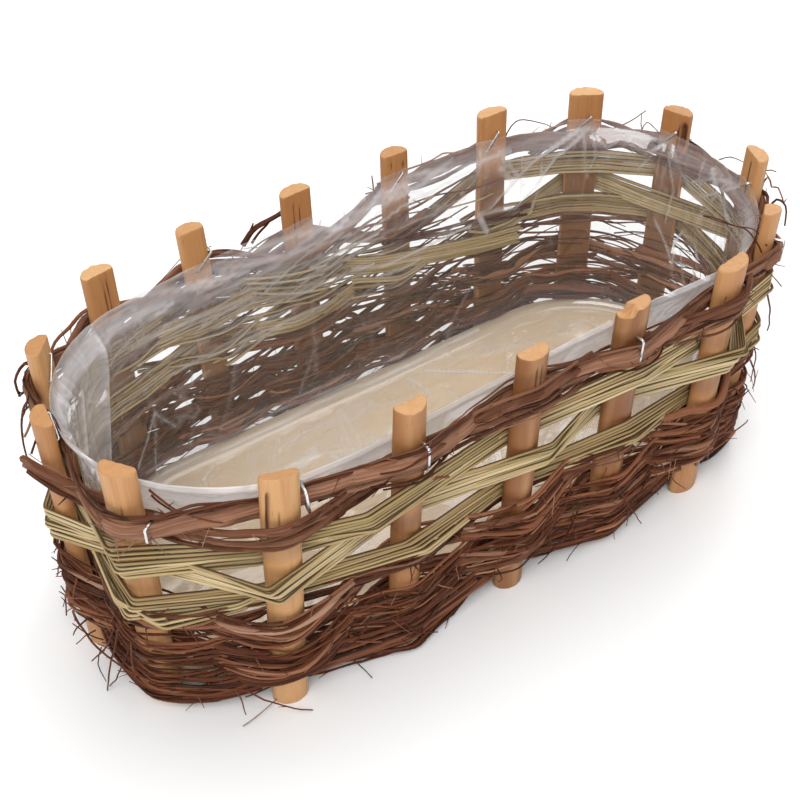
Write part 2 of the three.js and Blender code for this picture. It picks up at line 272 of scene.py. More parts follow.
def spline(points, step=2.0):
    """A smooth line through points (Catmull-Rom), at about the given spacing."""
    p = np.asarray(points, float)
    p = np.vstack([2 * p[0] - p[1], p, 2 * p[-1] - p[-2]])
    out = []
    for i in range(1, len(p) - 2):
        n = max(2, int(np.linalg.norm(p[i + 1] - p[i]) / step))
        t = np.arange(n)[:, None] / n
        a, b, c, d = p[i - 1:i + 3]
        out.append(0.5 * (2 * b + (c - a) * t + (2 * a - 5 * b + 4 * c - d) * t ** 2 + (3 * b - a - 3 * c + d) * t ** 3))
    return np.vstack(out + [p[-2:-1]])


# ------------------------------------------------------------------ materials
def nodes_of(name):
    m = bpy.data.materials.new(name)
    m.use_nodes = True
    t = m.node_tree
    t.nodes.clear()
    out = t.nodes.new("ShaderNodeOutputMaterial")
    return m, t, out


class Net:
    def __init__(self, tree):
        self.t = tree

    def n(self, kind, **props):
        node = self.t.nodes.new(kind)
        for k, v in props.items():
            setattr(node, k, v)
        return node

    def link(self, a, b):
        self.t.links.new(a, b)

    def attr(self, name):
        return self.n("ShaderNodeAttribute", attribute_name=name)

    def math(self, op, a, b=None, clamp=False):
        m = self.n("ShaderNodeMath", operation=op, use_clamp=clamp)
        for i, x in enumerate((a, b)):
            if x is None:
                continue
            if isinstance(x, (int, float)):
                m.inputs[i].default_value = x
            else:
                self.link(x, m.inputs[i])
        return m.outputs[0]

    def scale(self, vec, xyz):
        m = self.n("ShaderNodeVectorMath", operation="MULTIPLY")
        self.link(vec, m.inputs[0])
        m.inputs[1].default_value = xyz
        return m.outputs[0]

    def noise(self, vec, scale, detail=4.0, rough=0.55, w=None, distort=0.0):
        m = self.n("ShaderNodeTexNoise", noise_dimensions="4D" if w is not None else "3D")
        self.link(vec, m.inputs["Vector"])
        m.inputs["Scale"].default_value = scale
        m.inputs["Detail"].default_value = detail
        m.inputs["Roughness"].default_value = rough
        m.inputs["Distortion"].default_value = distort
        if w is not None:
            self.link(w, m.inputs["W"])
        return m.outputs["Fac"]

    def ramp(self, fac, stops, interp="LINEAR"):
        m = self.n("ShaderNodeValToRGB")
        m.color_ramp.interpolation = interp
        e = m.color_ramp.elements
        while len(e) < len(stops):
            e.new(0.5)
        for el, (p, c) in zip(e, stops):
            el.position = p
            el.color = (*c, 1.0) if len(c) == 3 else c
        self.link(fac, m.inputs[0])
        return m.outputs[0]

    def mix(self, fac, a, b, blend="MIX"):
        m = self.n("ShaderNodeMix", data_type="RGBA", blend_type=blend)
        for sock, x in ((m.inputs[0], fac), (m.inputs[6], a), (m.inputs[7], b)):
            if isinstance(x, (int, float)):
                sock.default_value = x
            elif isinstance(x, tuple):
                sock.default_value = (*x, 1.0)
            else:
                self.link(x, sock)
        return m.outputs[2]

    def range(self, x, a, b, c, d):
        m = self.n("ShaderNodeMapRange")
        self.link(x, m.inputs[0])
        for i, v in enumerate((a, b, c, d)):
            m.inputs[i + 1].default_value = v
        return m.outputs[0]

    def bump(self, height, strength, dist):
        m = self.n("ShaderNodeBump")
        m.inputs["Strength"].default_value = strength
        m.inputs["Distance"].default_value = dist
        self.link(height, m.inputs["Height"])
        return m.outputs[0]


def srgb(r, g, b):
    f = lambda c: c / 12.92 if c <= 0.04045 else ((c + 0.055) / 1.055) ** 2.4
    return tuple(f(c / 255) for c in (r, g, b))


def principled(net, out, color, rough, normal=None, **sockets):
    p = net.n("ShaderNodeBsdfPrincipled")
    for sock, x in ((p.inputs["Base Color"], color), (p.inputs["Roughness"], rough)):
        if isinstance(x, (int, float)):
            sock.default_value = x
        elif isinstance(x, tuple):
            sock.default_value = (*x, 1.0)
        else:
            net.link(x, sock)
    for k, v in sockets.items():
        p.inputs[k.replace("_", " ")].default_value = v
    if normal is not None:
        net.link(normal, p.inputs["Normal"])
    net.link(p.outputs[0], out.inputs["Surface"])
    return p


def rush_material():
    m, t, out = nodes_of("rush_straw")
    k = Net(t)
    loc, tint, kind = k.attr("loc").outputs["Vector"], k.attr("tint").outputs["Fac"], k.attr("kind").outputs["Fac"]
    w = k.math("MULTIPLY", tint, 37.0)
    streak = k.noise(k.scale(loc, (7.0, 2.4, 2.4)), 1.0, 4, 0.6, w)
    fine = k.noise(k.scale(loc, (30.0, 7.0, 7.0)), 1.0, 3, 0.6, w)
    patch = k.noise(k.scale(loc, (12.0, 0.35, 0.35)), 1.0, 3, 0.55, w)
    base = k.ramp(tint, [(0.0, srgb(146, 118, 76)), (0.2, srgb(184, 158, 110)), (0.45, srgb(206, 182, 136)), (0.7, srgb(216, 196, 154)), (0.88, srgb(176, 152, 102)), (1.0, srgb(156, 140, 90))])
    col = k.mix(k.range(patch, 0.40, 0.74, 0.0, 0.6), base, srgb(140, 112, 68))
    col = k.mix(k.range(streak, 0.54, 0.80, 0.0, 0.65), col, srgb(104, 74, 36))
    col = k.mix(k.range(fine, 0.48, 0.8, 0.0, 0.35), col, srgb(232, 216, 176))
    # dust and shade lie in the grooves between blades
    sep = k.n("ShaderNodeSeparateXYZ")
    k.link(loc, sep.inputs[0])
    col = k.mix(k.range(k.math("ABSOLUTE", sep.outputs[1]), 0.58, 0.95, 0.0, 0.92), col, srgb(52, 28, 8))
    col = k.mix(k.range(kind, 0.3, 0.8, 0.0, 0.8), col, srgb(214, 186, 126))
    h = k.math("ADD", k.math("MULTIPLY", streak, 0.8), k.math("MULTIPLY", fine, 0.35))
    rough = k.range(streak, 0.3, 0.8, 0.40, 0.66)
    principled(k, out, col, rough, k.bump(h, 0.55, 0.0005), Specular_IOR_Level=0.22)
    return m


def twig_material(name, shades, rough_to=0.75, flake=0.0):
    dark, low, mid, high, light = shades
    m, t, out = nodes_of(name)
    k = Net(t)
    loc, tint, kind = k.attr("loc").outputs["Vector"], k.attr("tint").outputs["Fac"], k.attr("kind").outputs["Fac"]
    w = k.math("MULTIPLY", tint, 51.0)
    long_ = k.noise(k.scale(loc, (16.0, 1.4, 1.4)), 1.0, 4, 0.62, w)
    fine = k.noise(k.scale(loc, (80.0, 4.2, 4.2)), 1.0, 4, 0.6, w)
    spots = k.noise(k.scale(loc, (260.0, 2.5, 2.5)), 1.0, 2, 0.5, w)
    base = k.ramp(tint, [(0.0, dark), (0.25, low), (0.6, mid), (0.85, high), (1.0, light)])
    col = k.mix(k.range(long_, 0.46, 0.76, 0.0, 0.60), base, dark)
    col = k.mix(k.range(fine, 0.50, 0.78, 0.0, 0.5), col, light)
    col = k.mix(k.range(spots, 0.64, 0.72, 0.0, 0.35), col, srgb(166, 130, 108))
    h = k.math("ADD", k.math("MULTIPLY", long_, 0.7), k.math("MULTIPLY", fine, 0.5))
    if flake:
        strip = k.noise(k.scale(loc, (9.0, 5.5, 5.5)), 1.0, 3, 0.5, w)
        col = k.mix(k.range(strip, 0.50, 0.60, 0.0, 0.40), col, dark)
        h = k.math("ADD", h, k.range(strip, 0.44, 0.56, flake, 0.0))
    col = k.mix(k.range(kind, 0.3, 0.8, 0.0, 1.0), col, srgb(186, 146, 108))
    rough = k.range(fine, 0.3, 0.8, 0.44, rough_to)
    principled(k, out, col, rough, k.bump(h, 0.7, 0.0007), Specular_IOR_Level=0.14)
    return m


def stake_material():
    m, t, out = nodes_of("stake_wood")
    k = Net(t)
    loc, tint, kind, painted_shade_and_pale_top = (k.attr(a).outputs["Vector" if a == "loc" else "Fac"] for a in ("loc", "tint", "kind", "painted_shade_and_pale_top"))
    w = k.math("MULTIPLY", tint, 23.0)
    grain = k.noise(k.scale(loc, (430.0, 430.0, 13.0)), 1.0, 5, 0.6, w, 0.4)
    broad = k.noise(k.scale(loc, (120.0, 120.0, 9.0)), 1.0, 3, 0.5, w)
    speck = k.noise(k.scale(loc, (900.0, 900.0, 130.0)), 1.0, 2, 0.5, w)
    flat = k.ramp(tint, [(0.0, srgb(160, 102, 54)), (0.5, srgb(196, 138, 84)), (1.0, srgb(216, 174, 120))])
    bark = k.ramp(tint, [(0.0, srgb(134, 82, 42)), (0.5, srgb(188, 134, 85)), (1.0, srgb(216, 168, 114))])
    cloud = k.noise(k.scale(loc, (420.0, 420.0, 420.0)), 1.0, 4, 0.6, w)
    top_dark = k.mix(cloud, srgb(190, 137, 84), srgb(166, 112, 64))
    top_pale = k.mix(cloud, srgb(222, 180, 128), srgb(194, 146, 94))
    top = k.mix(k.range(painted_shade_and_pale_top, -1.0, 0.0, 1.0, 0.0), top_dark, top_pale)
    body = k.mix(k.range(kind, 0.35, 0.65, 0.0, 1.0), flat, bark)
    body = k.mix(k.range(grain, 0.5, 0.76, 0.0, 0.5), body, srgb(150, 94, 50))
    body = k.mix(k.range(broad, 0.5, 0.74, 0.0, 0.35), body, srgb(224, 178, 122))
    body = k.mix(k.range(speck, 0.66, 0.74, 0.0, 0.35), body, srgb(126, 76, 40))
    col = k.mix(k.range(kind, 1.4, 1.7, 0.0, 1.0), body, top)
    # painted shade: darker places on the stakes, under and over the strands, in the cracks and down inside the basket
    col = k.mix(k.range(painted_shade_and_pale_top, 0.15, 0.85, 0.0, 0.9), col, srgb(78, 42, 24))
    h = k.math("ADD", k.math("MULTIPLY", grain, 0.8), k.math("MULTIPLY", speck, 0.25))
    principled(k, out, col, k.range(grain, 0.3, 0.8, 0.45, 0.64), k.bump(h, 0.35, 0.0006))
    return m


def board_material():
    m, t, out = nodes_of("board_ply")
    k = Net(t)
    pos = k.n("ShaderNodeTexCoord").outputs["Object"]
    grain = k.noise(k.scale(pos, (14.0, 210.0, 60.0)), 1.0, 5, 0.6, None, 0.5)
    cloud = k.noise(k.scale(pos, (9.0, 20.0, 9.0)), 1.0, 3, 0.5)
    fleck = k.noise(k.scale(pos, (60.0, 700.0, 300.0)), 1.0, 2, 0.5)
    col = k.ramp(cloud, [(0.3, srgb(206, 182, 150)), (0.7, srgb(222, 202, 174))])
    col = k.mix(k.range(grain, 0.5, 0.75, 0.0, 0.4), col, srgb(204, 172, 122))
    col = k.mix(k.range(fleck, 0.64, 0.72, 0.0, 0.3), col, srgb(176, 140, 92))
    sep = k.n("ShaderNodeSeparateXYZ")
    k.link(pos, sep.inputs[0])
    layer = k.math("FRACT", k.math("MULTIPLY", sep.outputs[2], 1000.0 / 4.8))
    norm = k.n("ShaderNodeNewGeometry").outputs["Normal"]
    sn = k.n("ShaderNodeSeparateXYZ")
    k.link(norm, sn.inputs[0])
    side = k.math("LESS_THAN", k.math("ABSOLUTE", sn.outputs[2]), 0.5)
    col = k.mix(k.math("MULTIPLY", side, k.range(layer, 0.45, 0.55, 0.0, 0.6)), col, srgb(150, 112, 66))
    h = k.math("ADD", grain, k.math("MULTIPLY", fleck, 0.3))
    principled(k, out, col, k.range(grain, 0.3, 0.8, 0.55, 0.7), k.bump(h, 0.25, 0.0005))
    return m


def steel_material(name, color, rough):
    m, t, out = nodes_of(name)
    k = Net(t)
    pos = k.n("ShaderNodeTexCoord").outputs["Object"]
    scratch = k.noise(k.scale(pos, (900.0, 900.0, 900.0)), 1.0, 3, 0.6)
    col = k.mix(k.range(scratch, 0.35, 0.75, 0.0, 0.5), color, tuple(c * 0.62 for c in color))
    principled(k, out, col, k.range(scratch, 0.3, 0.8, rough, rough + 0.2), k.bump(scratch, 0.2, 0.0002), Metallic=1.0)
    return m


def film_material():
    m, t, out = nodes_of("clear_film")
    k = Net(t)
    veil = k.attr("kind").outputs["Fac"]
    pos = k.n("ShaderNodeTexCoord").outputs["Object"]
    cloud = k.noise(pos, 26.0, 4, 0.6)
    streak = k.noise(k.scale(pos, (13.0, 13.0, 150.0)), 1.0, 4, 0.6, None, 0.6)
    normal = k.bump(k.math("ADD", k.math("MULTIPLY", cloud, 0.6), k.math("MULTIPLY", streak, 0.4)), 0.12, 0.0012)
    clear = k.n("ShaderNodeBsdfTransparent")
    clear.inputs[0].default_value = (0.99, 0.99, 0.99, 1)
    near = k.n("ShaderNodeBsdfDiffuse")
    near.inputs[0].default_value = (0.96, 0.95, 0.97, 1)
    far = k.n("ShaderNodeBsdfTranslucent")
    far.inputs[0].default_value = (0.93, 0.93, 0.95, 1)
    milk = k.n("ShaderNodeMixShader")
    milk.inputs[0].default_value = 0.34
    k.link(near.outputs[0], milk.inputs[1])
    k.link(far.outputs[0], milk.inputs[2])
    shine = k.n("ShaderNodeBsdfGlossy")
    shine.inputs["Color"].default_value = (1, 1, 1, 1)
    shine.inputs["Roughness"].default_value = 0.09
    k.link(normal, shine.inputs["Normal"])
    edge = k.n("ShaderNodeLayerWeight")
    edge.inputs["Blend"].default_value = 0.5
    k.link(normal, edge.inputs["Normal"])
    gloss = k.math("MULTIPLY_ADD", k.math("POWER", edge.outputs["Facing"], 4.0), 0.9)
    gloss.node.inputs[2].default_value = 0.07
    # painted glints: fine white lines along the film's crinkles, where they catch the light
    wave = k.noise(k.scale(pos, (0.55, 0.55, 1.5)), 30.0, 2, 0.5, None, 0.7)
    hair = k.noise(k.scale(pos, (0.5, 0.5, 1.3)), 74.0, 2, 0.5, None, 0.5)
    where = k.range(k.noise(pos, 17.0, 2, 0.5, None, 0.6), 0.46, 0.62, 0.0, 1.0)
    line = k.range(k.math("ABSOLUTE", k.math("SUBTRACT", wave, 0.5)), 0.0, 0.010, 0.30, 0.0)
    thin = k.range(k.math("ABSOLUTE", k.math("SUBTRACT", hair, 0.5)), 0.0, 0.014, 0.20, 0.0)
    crease = k.math("MULTIPLY", k.math("MAXIMUM", line, thin), where)
    # the milk is partly the film's own haze, partly a painted reflection of the bright room
    milky = k.math("MULTIPLY", veil, k.range(k.math("ADD", k.math("MULTIPLY", cloud, 0.3), k.math("MULTIPLY", streak, 0.7)), 0.36, 0.66, 0.62, 1.32))
    amount = k.math("MAXIMUM", milky, crease, True)
    a = k.n("ShaderNodeMixShader")
    k.link(amount, a.inputs[0])
    k.link(clear.outputs[0], a.inputs[1])
    k.link(milk.outputs[0], a.inputs[2])
    b = k.n("ShaderNodeMixShader")
    k.link(gloss, b.inputs[0])
    k.link(a.outputs[0], b.inputs[1])
    k.link(shine.outputs[0], b.inputs[2])
    k.link(b.outputs[0], out.inputs["Surface"])
    return m


RUSH = rush_material()
TWIG = twig_material("twig_bark", [srgb(34, 12, 5), srgb(74, 34, 17), srgb(106, 57, 35), srgb(139, 87, 60), srgb(176, 125, 95)])
BARK = twig_material("rod_bark", [srgb(70, 34, 19), srgb(118, 72, 49), srgb(148, 101, 75), srgb(170, 124, 98), srgb(198, 156, 129)], 0.7, 0.6)
STAKE = stake_material()
BOARD = board_material()
STAPLE = steel_material("staple_wire", (0.78, 0.79, 0.81), 0.22)
NAIL = steel_material("nail_steel", (0.20, 0.17, 0.15), 0.45)
FILM = film_material()

PIECES = []


def finish_piece(ob, nodes):
    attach(ob, "root")
    if nodes:
        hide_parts(*nodes)
    PIECES.append(ob)
    return ob


# ------------------------------------------------------------------ stakes
# painted shade on the round faces, under and over the strands: height, half height, strength
SHADED = {17: [(86, 9, 0.30), (122, 8, 0.25)], 16: [(86, 9, 0.42), (115, 8, 0.40), (62, 8, 0.3)], 15: [(106, 10, 0.38), (62, 9, 0.36)], 14: [(87, 9, 0.50), (134, 8, 0.22), (62, 9, 0.3)],
          13: [(139, 7, 0.34), (64, 9, 0.42), (20, 9, 0.2)], 12: [(137, 7, 0.36), (92, 11, 0.34)], 11: [(104, 8, 0.40), (76, 10, 0.50)], 10: [(112, 8, 0.4), (88, 9, 0.34)]}


def build_stake(i):
    s, height, width, side, across, out = STAKES[i]
    rng = np.random.default_rng(500 + i)
    seed = rng.uniform(0, 50)
    half = width / 2
    m_round, m_flat = 30, 25
    a = np.linspace(0, math.pi, m_round)
    sx = np.r_[half * np.cos(a), np.linspace(-half, half, m_flat + 2)[1:-1]]
    sy = np.r_[EDGE + (DEPTH - EDGE) * np.sin(a), np.zeros(m_flat)]
    # the two long edges are a little worn
    for _ in range(2):
        sx = 0.5 * sx + 0.25 * (np.roll(sx, 1) + np.roll(sx, -1))
        sy = 0.5 * sy + 0.25 * (np.roll(sy, 1) + np.roll(sy, -1))
    flat = sy < 0.35
    kind_side = np.clip((sy - 0.5) / 1.6, 0, 1)
    cnt = len(sx)
    shade, pale = WOOD[i]
    zs = np.r_[0.0, 0.0, 0.7, np.linspace(3, 100, 30)[:-1], np.linspace(100, height - 3.2, 26), height - 1.5, height - 0.5, height, height, height]
    inset = np.r_[0.82, 0.95, 1.0, np.ones(29 + 26), 1.0, 0.99, 0.955, 0.86, 0.45]
    cap = len(zs) - 3
    verts, loc, kind, painted_shade_and_pale_top = [], [], [], []
    for row, (z, f) in enumerate(zip(zs, inset)):
        grow = 1 + 0.035 * noise.noise(Vector((seed, z * 0.02, 0)))
        bow = 0.7 * noise.noise(Vector((seed + 9, z * 0.010, 1.5))) * min(1.0, z / 40.0)
        for j in range(cnt):
            x, y = sx[j] * f * grow, (sy[j] - 3.2) * f + 3.2
            dark = 0.0
            ridge = noise.noise(Vector((sx[j] * 0.55 + seed, sy[j] * 0.55, z * 0.016))) + 0.5 * noise.noise(Vector((sx[j] * 1.7 + seed, sy[j] * 1.7, z * 0.03)))
            if not flat[j]:
                y += 0.22 * ridge
            elif f == 1.0:
                y += 0.06 * ridge
            if row < cap:
                for face, u, z0, z1, wd, dep in CRACKS.get(i, ()):
                    if (face == "in") != bool(flat[j]):
                        continue
                    line = u + 0.5 * noise.noise(Vector((z * 0.06, u, seed)))
                    p = max(0.0, 1 - abs(sx[j] - line) / (wd * 1.15)) * min(1.0, max(0.0, min(z - z0, z1 - z) / 3.0))
                    y += dep * p * (1 if face == "in" else -1)
                    # painted shade down in the crack
                    dark = max(dark, min(1.0, 1.25 * p))
            # painted shade under and over the strands on the round face
            if not flat[j] and row < cap:
                for zc, zh, much in SHADED.get(i, ()):
                    blur = abs(z + 2.2 * noise.noise(Vector((sx[j] * 0.3, z * 0.05, seed))) - zc) / zh
                    dark = max(dark, much * (1 - min(1.0, blur) ** 2))
            if flat[j] and row < cap:
                # painted shade: the flat faces are darker down inside the basket
                dark = max(dark, 0.56 * min(1.0, max(0.0, (131 - z) / 16)))
            zz = z
            if z > 100:
                t = min(1.0, (z - 100) / (height - 100))
                if row >= cap - 2:
                    t = 1.0
                zz += t * (across * x + out * (y - DEPTH / 2))
                if row >= cap - 2:
                    zz += 0.45 * noise.noise(Vector((x * 0.4 + seed, y * 0.4, 3.0))) + 0.2 * noise.noise(Vector((x * 1.3 + seed, y * 1.3, 5.0)))
            if i == 12 and z > 130:
                # a piece is split off one corner
                cut = min(1.0, max(0.0, (x - 2.6) / 0.9))
                zz -= cut * (3.4 + 0.9 * noise.noise(Vector((x * 0.9, y * 0.9, 1.0)))) * min(1.0, max(0.0, (z - 136) / (height - 137)))
            if i == 14 and row >= cap - 2:
                zz -= 0.9 * max(0.0, 1 - (x / 6.0) ** 2)
            verts.append((x + bow, y, zz))
            loc.append((x * 0.001 + seed, y * 0.001, zz * 0.001))
            kind.append(2.0 if row >= cap else kind_side[j])
            painted_shade_and_pale_top.append(-pale if row >= cap else dark)
    rows = len(zs)
    top_c = len(verts)
    verts.append((0, 3.2, height + out * (3.2 - DEPTH / 2)))
    loc.append((seed, 0.003, height * 0.001))
    kind.append(2.0)
    painted_shade_and_pale_top.append(-pale)
    bot_c = len(verts)
    verts.append((0, 3.2, 0.0))
    loc.append((seed, 0.003, 0))
    kind.append(2.0)
    painted_shade_and_pale_top.append(0.0)
    idx = np.arange(rows * cnt).reshape(rows, cnt)
    nxt = np.roll(idx, -1, 1)
    faces = np.stack([idx[:-1], nxt[:-1], nxt[1:], idx[1:]], -1).reshape(-1, 4).tolist()
    faces += [(top_c, int(idx[-1, j]), int(nxt[-1, j])) for j in range(cnt)]
    faces += [(bot_c, int(nxt[0, j]), int(idx[0, j])) for j in range(cnt)]
    v = np.array(verts)
    b = Builder()
    b.add(on_stake(i, v[:, 0], v[:, 1], v[:, 2]), faces, loc, shade, 0, kind, painted_shade_and_pale_top)
    ob = b.mesh(f"wood_stake_{i:02d}", [STAKE])
    return finish_piece(ob, [f"stake_{i:02d}"])


for i in STAKES:
    build_stake(i)


# ------------------------------------------------------------------ woven courses
# level and height of each bundle outside a stake and inside a stake
LEVEL = [
    ((127.5, 12), (126, 10)),
    ((124, 13), (114.5, 12)),
    ((108, 16), (112, 15)),
    ((92, 16), (93.5, 15)),
    ((76, 16), (81, 15)),
    ((55.5, 15), (60, 14)),
    ((26, 38), (40, 21)),
    ((32.5, 15), (37, 13)),
]
# (course, stake): level and height outside single stakes; for rush also where the bend
# falls along the wall from the middle of the stake, and how far it runs from the top blade to the lowest
OUTSIDE = {
    (0, 16): (122.5, 13), (0, 14): (128.5, 13), (0, 12): (128, 13), (0, 8): (128, 10), (0, 6): (129, 11), (0, 5): (128.7, 10), (0, 3): (128, 11),
    (1, 17): (118, 13), (1, 15): (118.5, 12), (1, 13): (129, 14), (1, 11): (125, 13), (1, 9): (124, 11), (1, 7): (127.5, 10), (1, 4): (124, 9), (1, 2): (122, 10),
    (2, 16): (101.5, 22, -2, 3), (2, 14): (109.5, 17, -26.5, 6.5), (2, 12): (113.8, 15, 3.4, 5.6), (2, 8): (112, 13, 0, 4), (2, 6): (115, 11), (2, 3): (112.5, 15, 0, 4),
    (3, 17): (84, 15, 0, 4), (3, 15): (86.6, 16, -6, 5.7), (3, 13): (91, 14, 8.6, -2.5), (3, 11): (89.8, 14, 5.6, -5.8), (3, 9): (103, 14), (3, 7): (101, 13), (3, 4): (100, 11),
    (4, 16): (73, 17, -0.4, -5), (4, 14): (73, 17, 0.3, 16), (4, 12): (77, 18, 3, 11), (4, 8): (86, 12), (4, 6): (86, 12), (4, 5): (84, 10), (4, 3): (82, 12),
    (5, 15): (55, 15), (5, 13): (54.5, 15), (5, 11): (54.5, 16),
    (6, 16): (29, 38), (6, 14): (23, 41), (6, 12): (28, 37),
    (7, 15): (33.5, 13), (7, 13): (32.5, 15), (7, 11): (35, 18),
}
INSIDE = {
    (0, 15): (125.5, 9), (0, 13): (125.5, 9), (0, 9): (128, 7), (0, 7): (129.5, 6), (0, 4): (119, 8), (0, 2): (118.5, 8),
    (1, 10): (121, 10), (1, 8): (127, 9), (1, 5): (108, 8), (1, 3): (120, 9), (1, 1): (117, 10),
    (2, 17): (101, 15), (2, 15): (99, 16), (2, 13): (102.3, 15), (2, 11): (102, 15), (2, 9): (114, 14), (2, 7): (116, 14), (2, 4): (103.5, 20),
    (3, 16): (91, 13), (3, 14): (88, 15), (3, 12): (92, 15), (3, 8): (98, 13), (3, 6): (88, 11), (3, 5): (94, 10), (3, 3): (105, 12),
    (4, 17): (75, 15), (4, 15): (71.5, 15), (4, 13): (68, 14), (4, 11): (66.3, 15), (4, 9): (86, 14), (4, 7): (91, 12), (4, 4): (80, 9),
}


def lap(k):
    """Distance along the spiral at place k, counted in stakes from stake 6."""
    return math.floor(k / 17) * PERI + float(np.interp(k % 17, np.arange(18), np.r_[LK, PERI]))


def at_stake(kk):
    c, k = divmod(int(kk), 17)
    st = ROUND[k]
    base = (int(kk) // 17) * PERI
    c = min(max(c, 0), 7)
    # the first bundle starts behind stake 5, so it lies outside two stakes running
    outside = kk % 2 == 0 or kk == -1
    lv = OUTSIDE.get((c, st), LEVEL[c][0]) if outside else INSIDE.get((c, st), LEVEL[c][1])
    z0, hgt, ds, mitre = (tuple(lv) + (0.0, 0.0))[:4]
    return c, st, outside, base + LK[k] + STAKES[st][3] * z0, STAKES[st][2] / 2, z0, hgt, ds, mitre


# places between stakes where a bundle rises: place, level, height
BETWEEN = [(9.58, 128.5, 12)]


def short_of(p, st, gap):
    """How far a run of points lies too deep on the round face of a stake."""
    o, x, y = stake_frame(st)
    half = STAKES[st][2] / 2 + 0.3
    u = (p - o) @ x - STAKES[st][3] * p[:, 2]
    v = (p - o) @ y - FLARE * p[:, 2]
    need = EDGE + (DEPTH - EDGE) * np.sqrt(np.clip(1 - (u / half) ** 2, 0, 1)) + gap
    return float(np.max(np.where((np.abs(u) < half) & (v > -6), need - v, 0.0), initial=0.0))


def bent_path(k0, k1, rank, layer, rb, rng, step=1.5):
    """A rush blade: straight runs between sharp bends."""
    inner = max(-0.3 - rb - layer, -5.5 + rb)
    info = [at_stake(kk) for kk in range(math.floor(k0) - 2, math.ceil(k1) + 3)]
    pl, pw, pz, bends = [], [], [], []
    for n in range(1, len(info) - 1):
        c, st, outside, lk, hw, z0, hgt, ds, mitre = info[n]
        z = z0 + rank * hgt
        if outside:
            crown = DEPTH + 0.2 + rb + layer
            off = -(ds - rank * mitre)
            near = info[n - 1] if off > 0 else info[n + 1]
            reach = abs(near[3] - lk) - near[4]
            w = (crown * (reach + abs(off)) - abs(off) * inner) / reach if off else crown
            bends.append((len(pl), st))
            pl.append(lk + off)
            pw.append(w)
            pz.append(z)
        else:
            pl += [lk - hw - 0.4, lk + hw + 0.4]
            pw += [inner, inner]
            pz += [z, z]
    l = np.linspace(lap(k0), lap(k1), max(10, int((lap(k1) - lap(k0)) / step)))
    # a bend stands out far enough for the straight runs to clear its stake
    for _ in range(4):
        knots = place(np.array(pl), np.array(pw), np.array(pz))
        p = np.stack([np.interp(l, pl, knots[:, i]) for i in range(3)], 1)
        for n, st in bends:
            pw[n] += min(2.0, 1.05 * short_of(p, st, rb + 0.1 + 0.8 * layer))
    knots = place(np.array(pl), np.array(pw), np.array(pz))
    p = np.stack([smooth1(np.interp(l, pl, knots[:, i]), 1) for i in range(3)], 1)
    side = np.where(np.interp(l, pl, pw) > DEPTH / 2, 1.0, -0.3) * np.abs(wander(l, 0.2, (50, 110), rng))
    nn = plan(S0 - l)[1]
    p[:, :2] += nn[:, :2] * side[:, None]
    p[:, 2] += wander(l, 0.35, (120, 260), rng)
    return l, p


def swung_path(k0, k1, rank, layer, rb, z_shift=0.0, drift=0.0, jog=None, under=False, step=1.5):
    """A twig or rod: it swings in and out of the stakes in easy curves."""
    inner = max(-0.35 - rb - layer, -5.5 + rb)
    wl, wv, zl, zv = [], [], [], []
    info = [at_stake(kk) for kk in range(math.floor(k0) - 1, math.ceil(k1) + 2)]
    la, lb = lap(k0), lap(k1)
    for n, (c, st, outside, lk, hw, z0, hgt, _, _) in enumerate(info):
        q = rank + drift * ((lk - la) / max(1.0, lb - la) - 0.5)
        # no two twigs turn at quite the same place
        off = 5.0 * math.sin(rank * 41.0 + layer * 9.0 + n * 2.3)
        if outside:
            w = DEPTH + 0.45 + rb + layer
            wl += [lk - 1.5 + 0.5 * off, lk + 1.5 + 0.5 * off]
        else:
            w = inner
            wl += [lk - hw + 0.5, lk + hw - 0.5]
        wv += [w, w]
        z = z0 + q * hgt + z_shift + (0.0 if jog is None else jog[n % len(jog)])
        if under and not outside:
            # the lowest twigs pass below the base board
            z = 7.5 + (rank + 0.35) * 20
        elif c == 6 and not outside:
            z = 29.0 + (rank + 0.18) * 32
        zl.append(lk + 1.6 * off)
        zv.append(z)
    for k, z0, hgt in BETWEEN:
        if k0 - 1 < k < k1 + 1:
            zl.append(lap(k))
            zv.append(z0 + rank * hgt + z_shift)
    order = np.argsort(zl)
    zl, zv = np.array(zl)[order], np.array(zv)[order]
    l = np.linspace(la, lb, max(10, int((lb - la) / step)))
    return l, smooth1(np.interp(l, wl, wv), int(5 / step)), smooth1(np.interp(l, zl, zv), int(12 / step))


def lay_rush(b, rng, k0, k1, rank, layer, ra, rb, tint, sides=8):
    l, p = bent_path(k0, k1, rank, layer, rb, rng)
    t = np.linspace(0, 1, len(p))
    swell = 1 + 0.05 * np.sin(t * rng.uniform(10, 30) + rng.uniform(0, 6))
    twist = wander(l, 0.25, (90, 200), rng)
    b.tube(p, ra * swell, rb * swell, sides, 0, tint, twist, True, seed=rng.uniform(0, 40))


def lay_line(b, rng, pts, r, tint, mat=0, flat=0.88, rough=0.25, soft=5, chords=False):
    """A blade or twig along given points (along the weave, outward, height), or in straight runs between them."""
    q = np.array(pts)
    l = np.linspace(q[0, 0], q[-1, 0], int((q[-1, 0] - q[0, 0]) / 1.5))
    if chords:
        knots = place(q[:, 0], q[:, 1], q[:, 2])
        b.tube(np.stack([smooth1(np.interp(l, q[:, 0], knots[:, i]), 1) for i in range(3)], 1), r, r * flat, 8, mat, tint, None, True, seed=rng.uniform(0, 40))
        return
    w, z = (smooth1(np.interp(l, q[:, 0], q[:, i]), soft) for i in (1, 2))
    b.tube(place(l, w + wander(l, 0.12, (60, 140), rng), z + wander(l, rough, (30, 90, 200), rng)), r, r * flat, 8, mat, tint, None, True, seed=rng.uniform(0, 40))


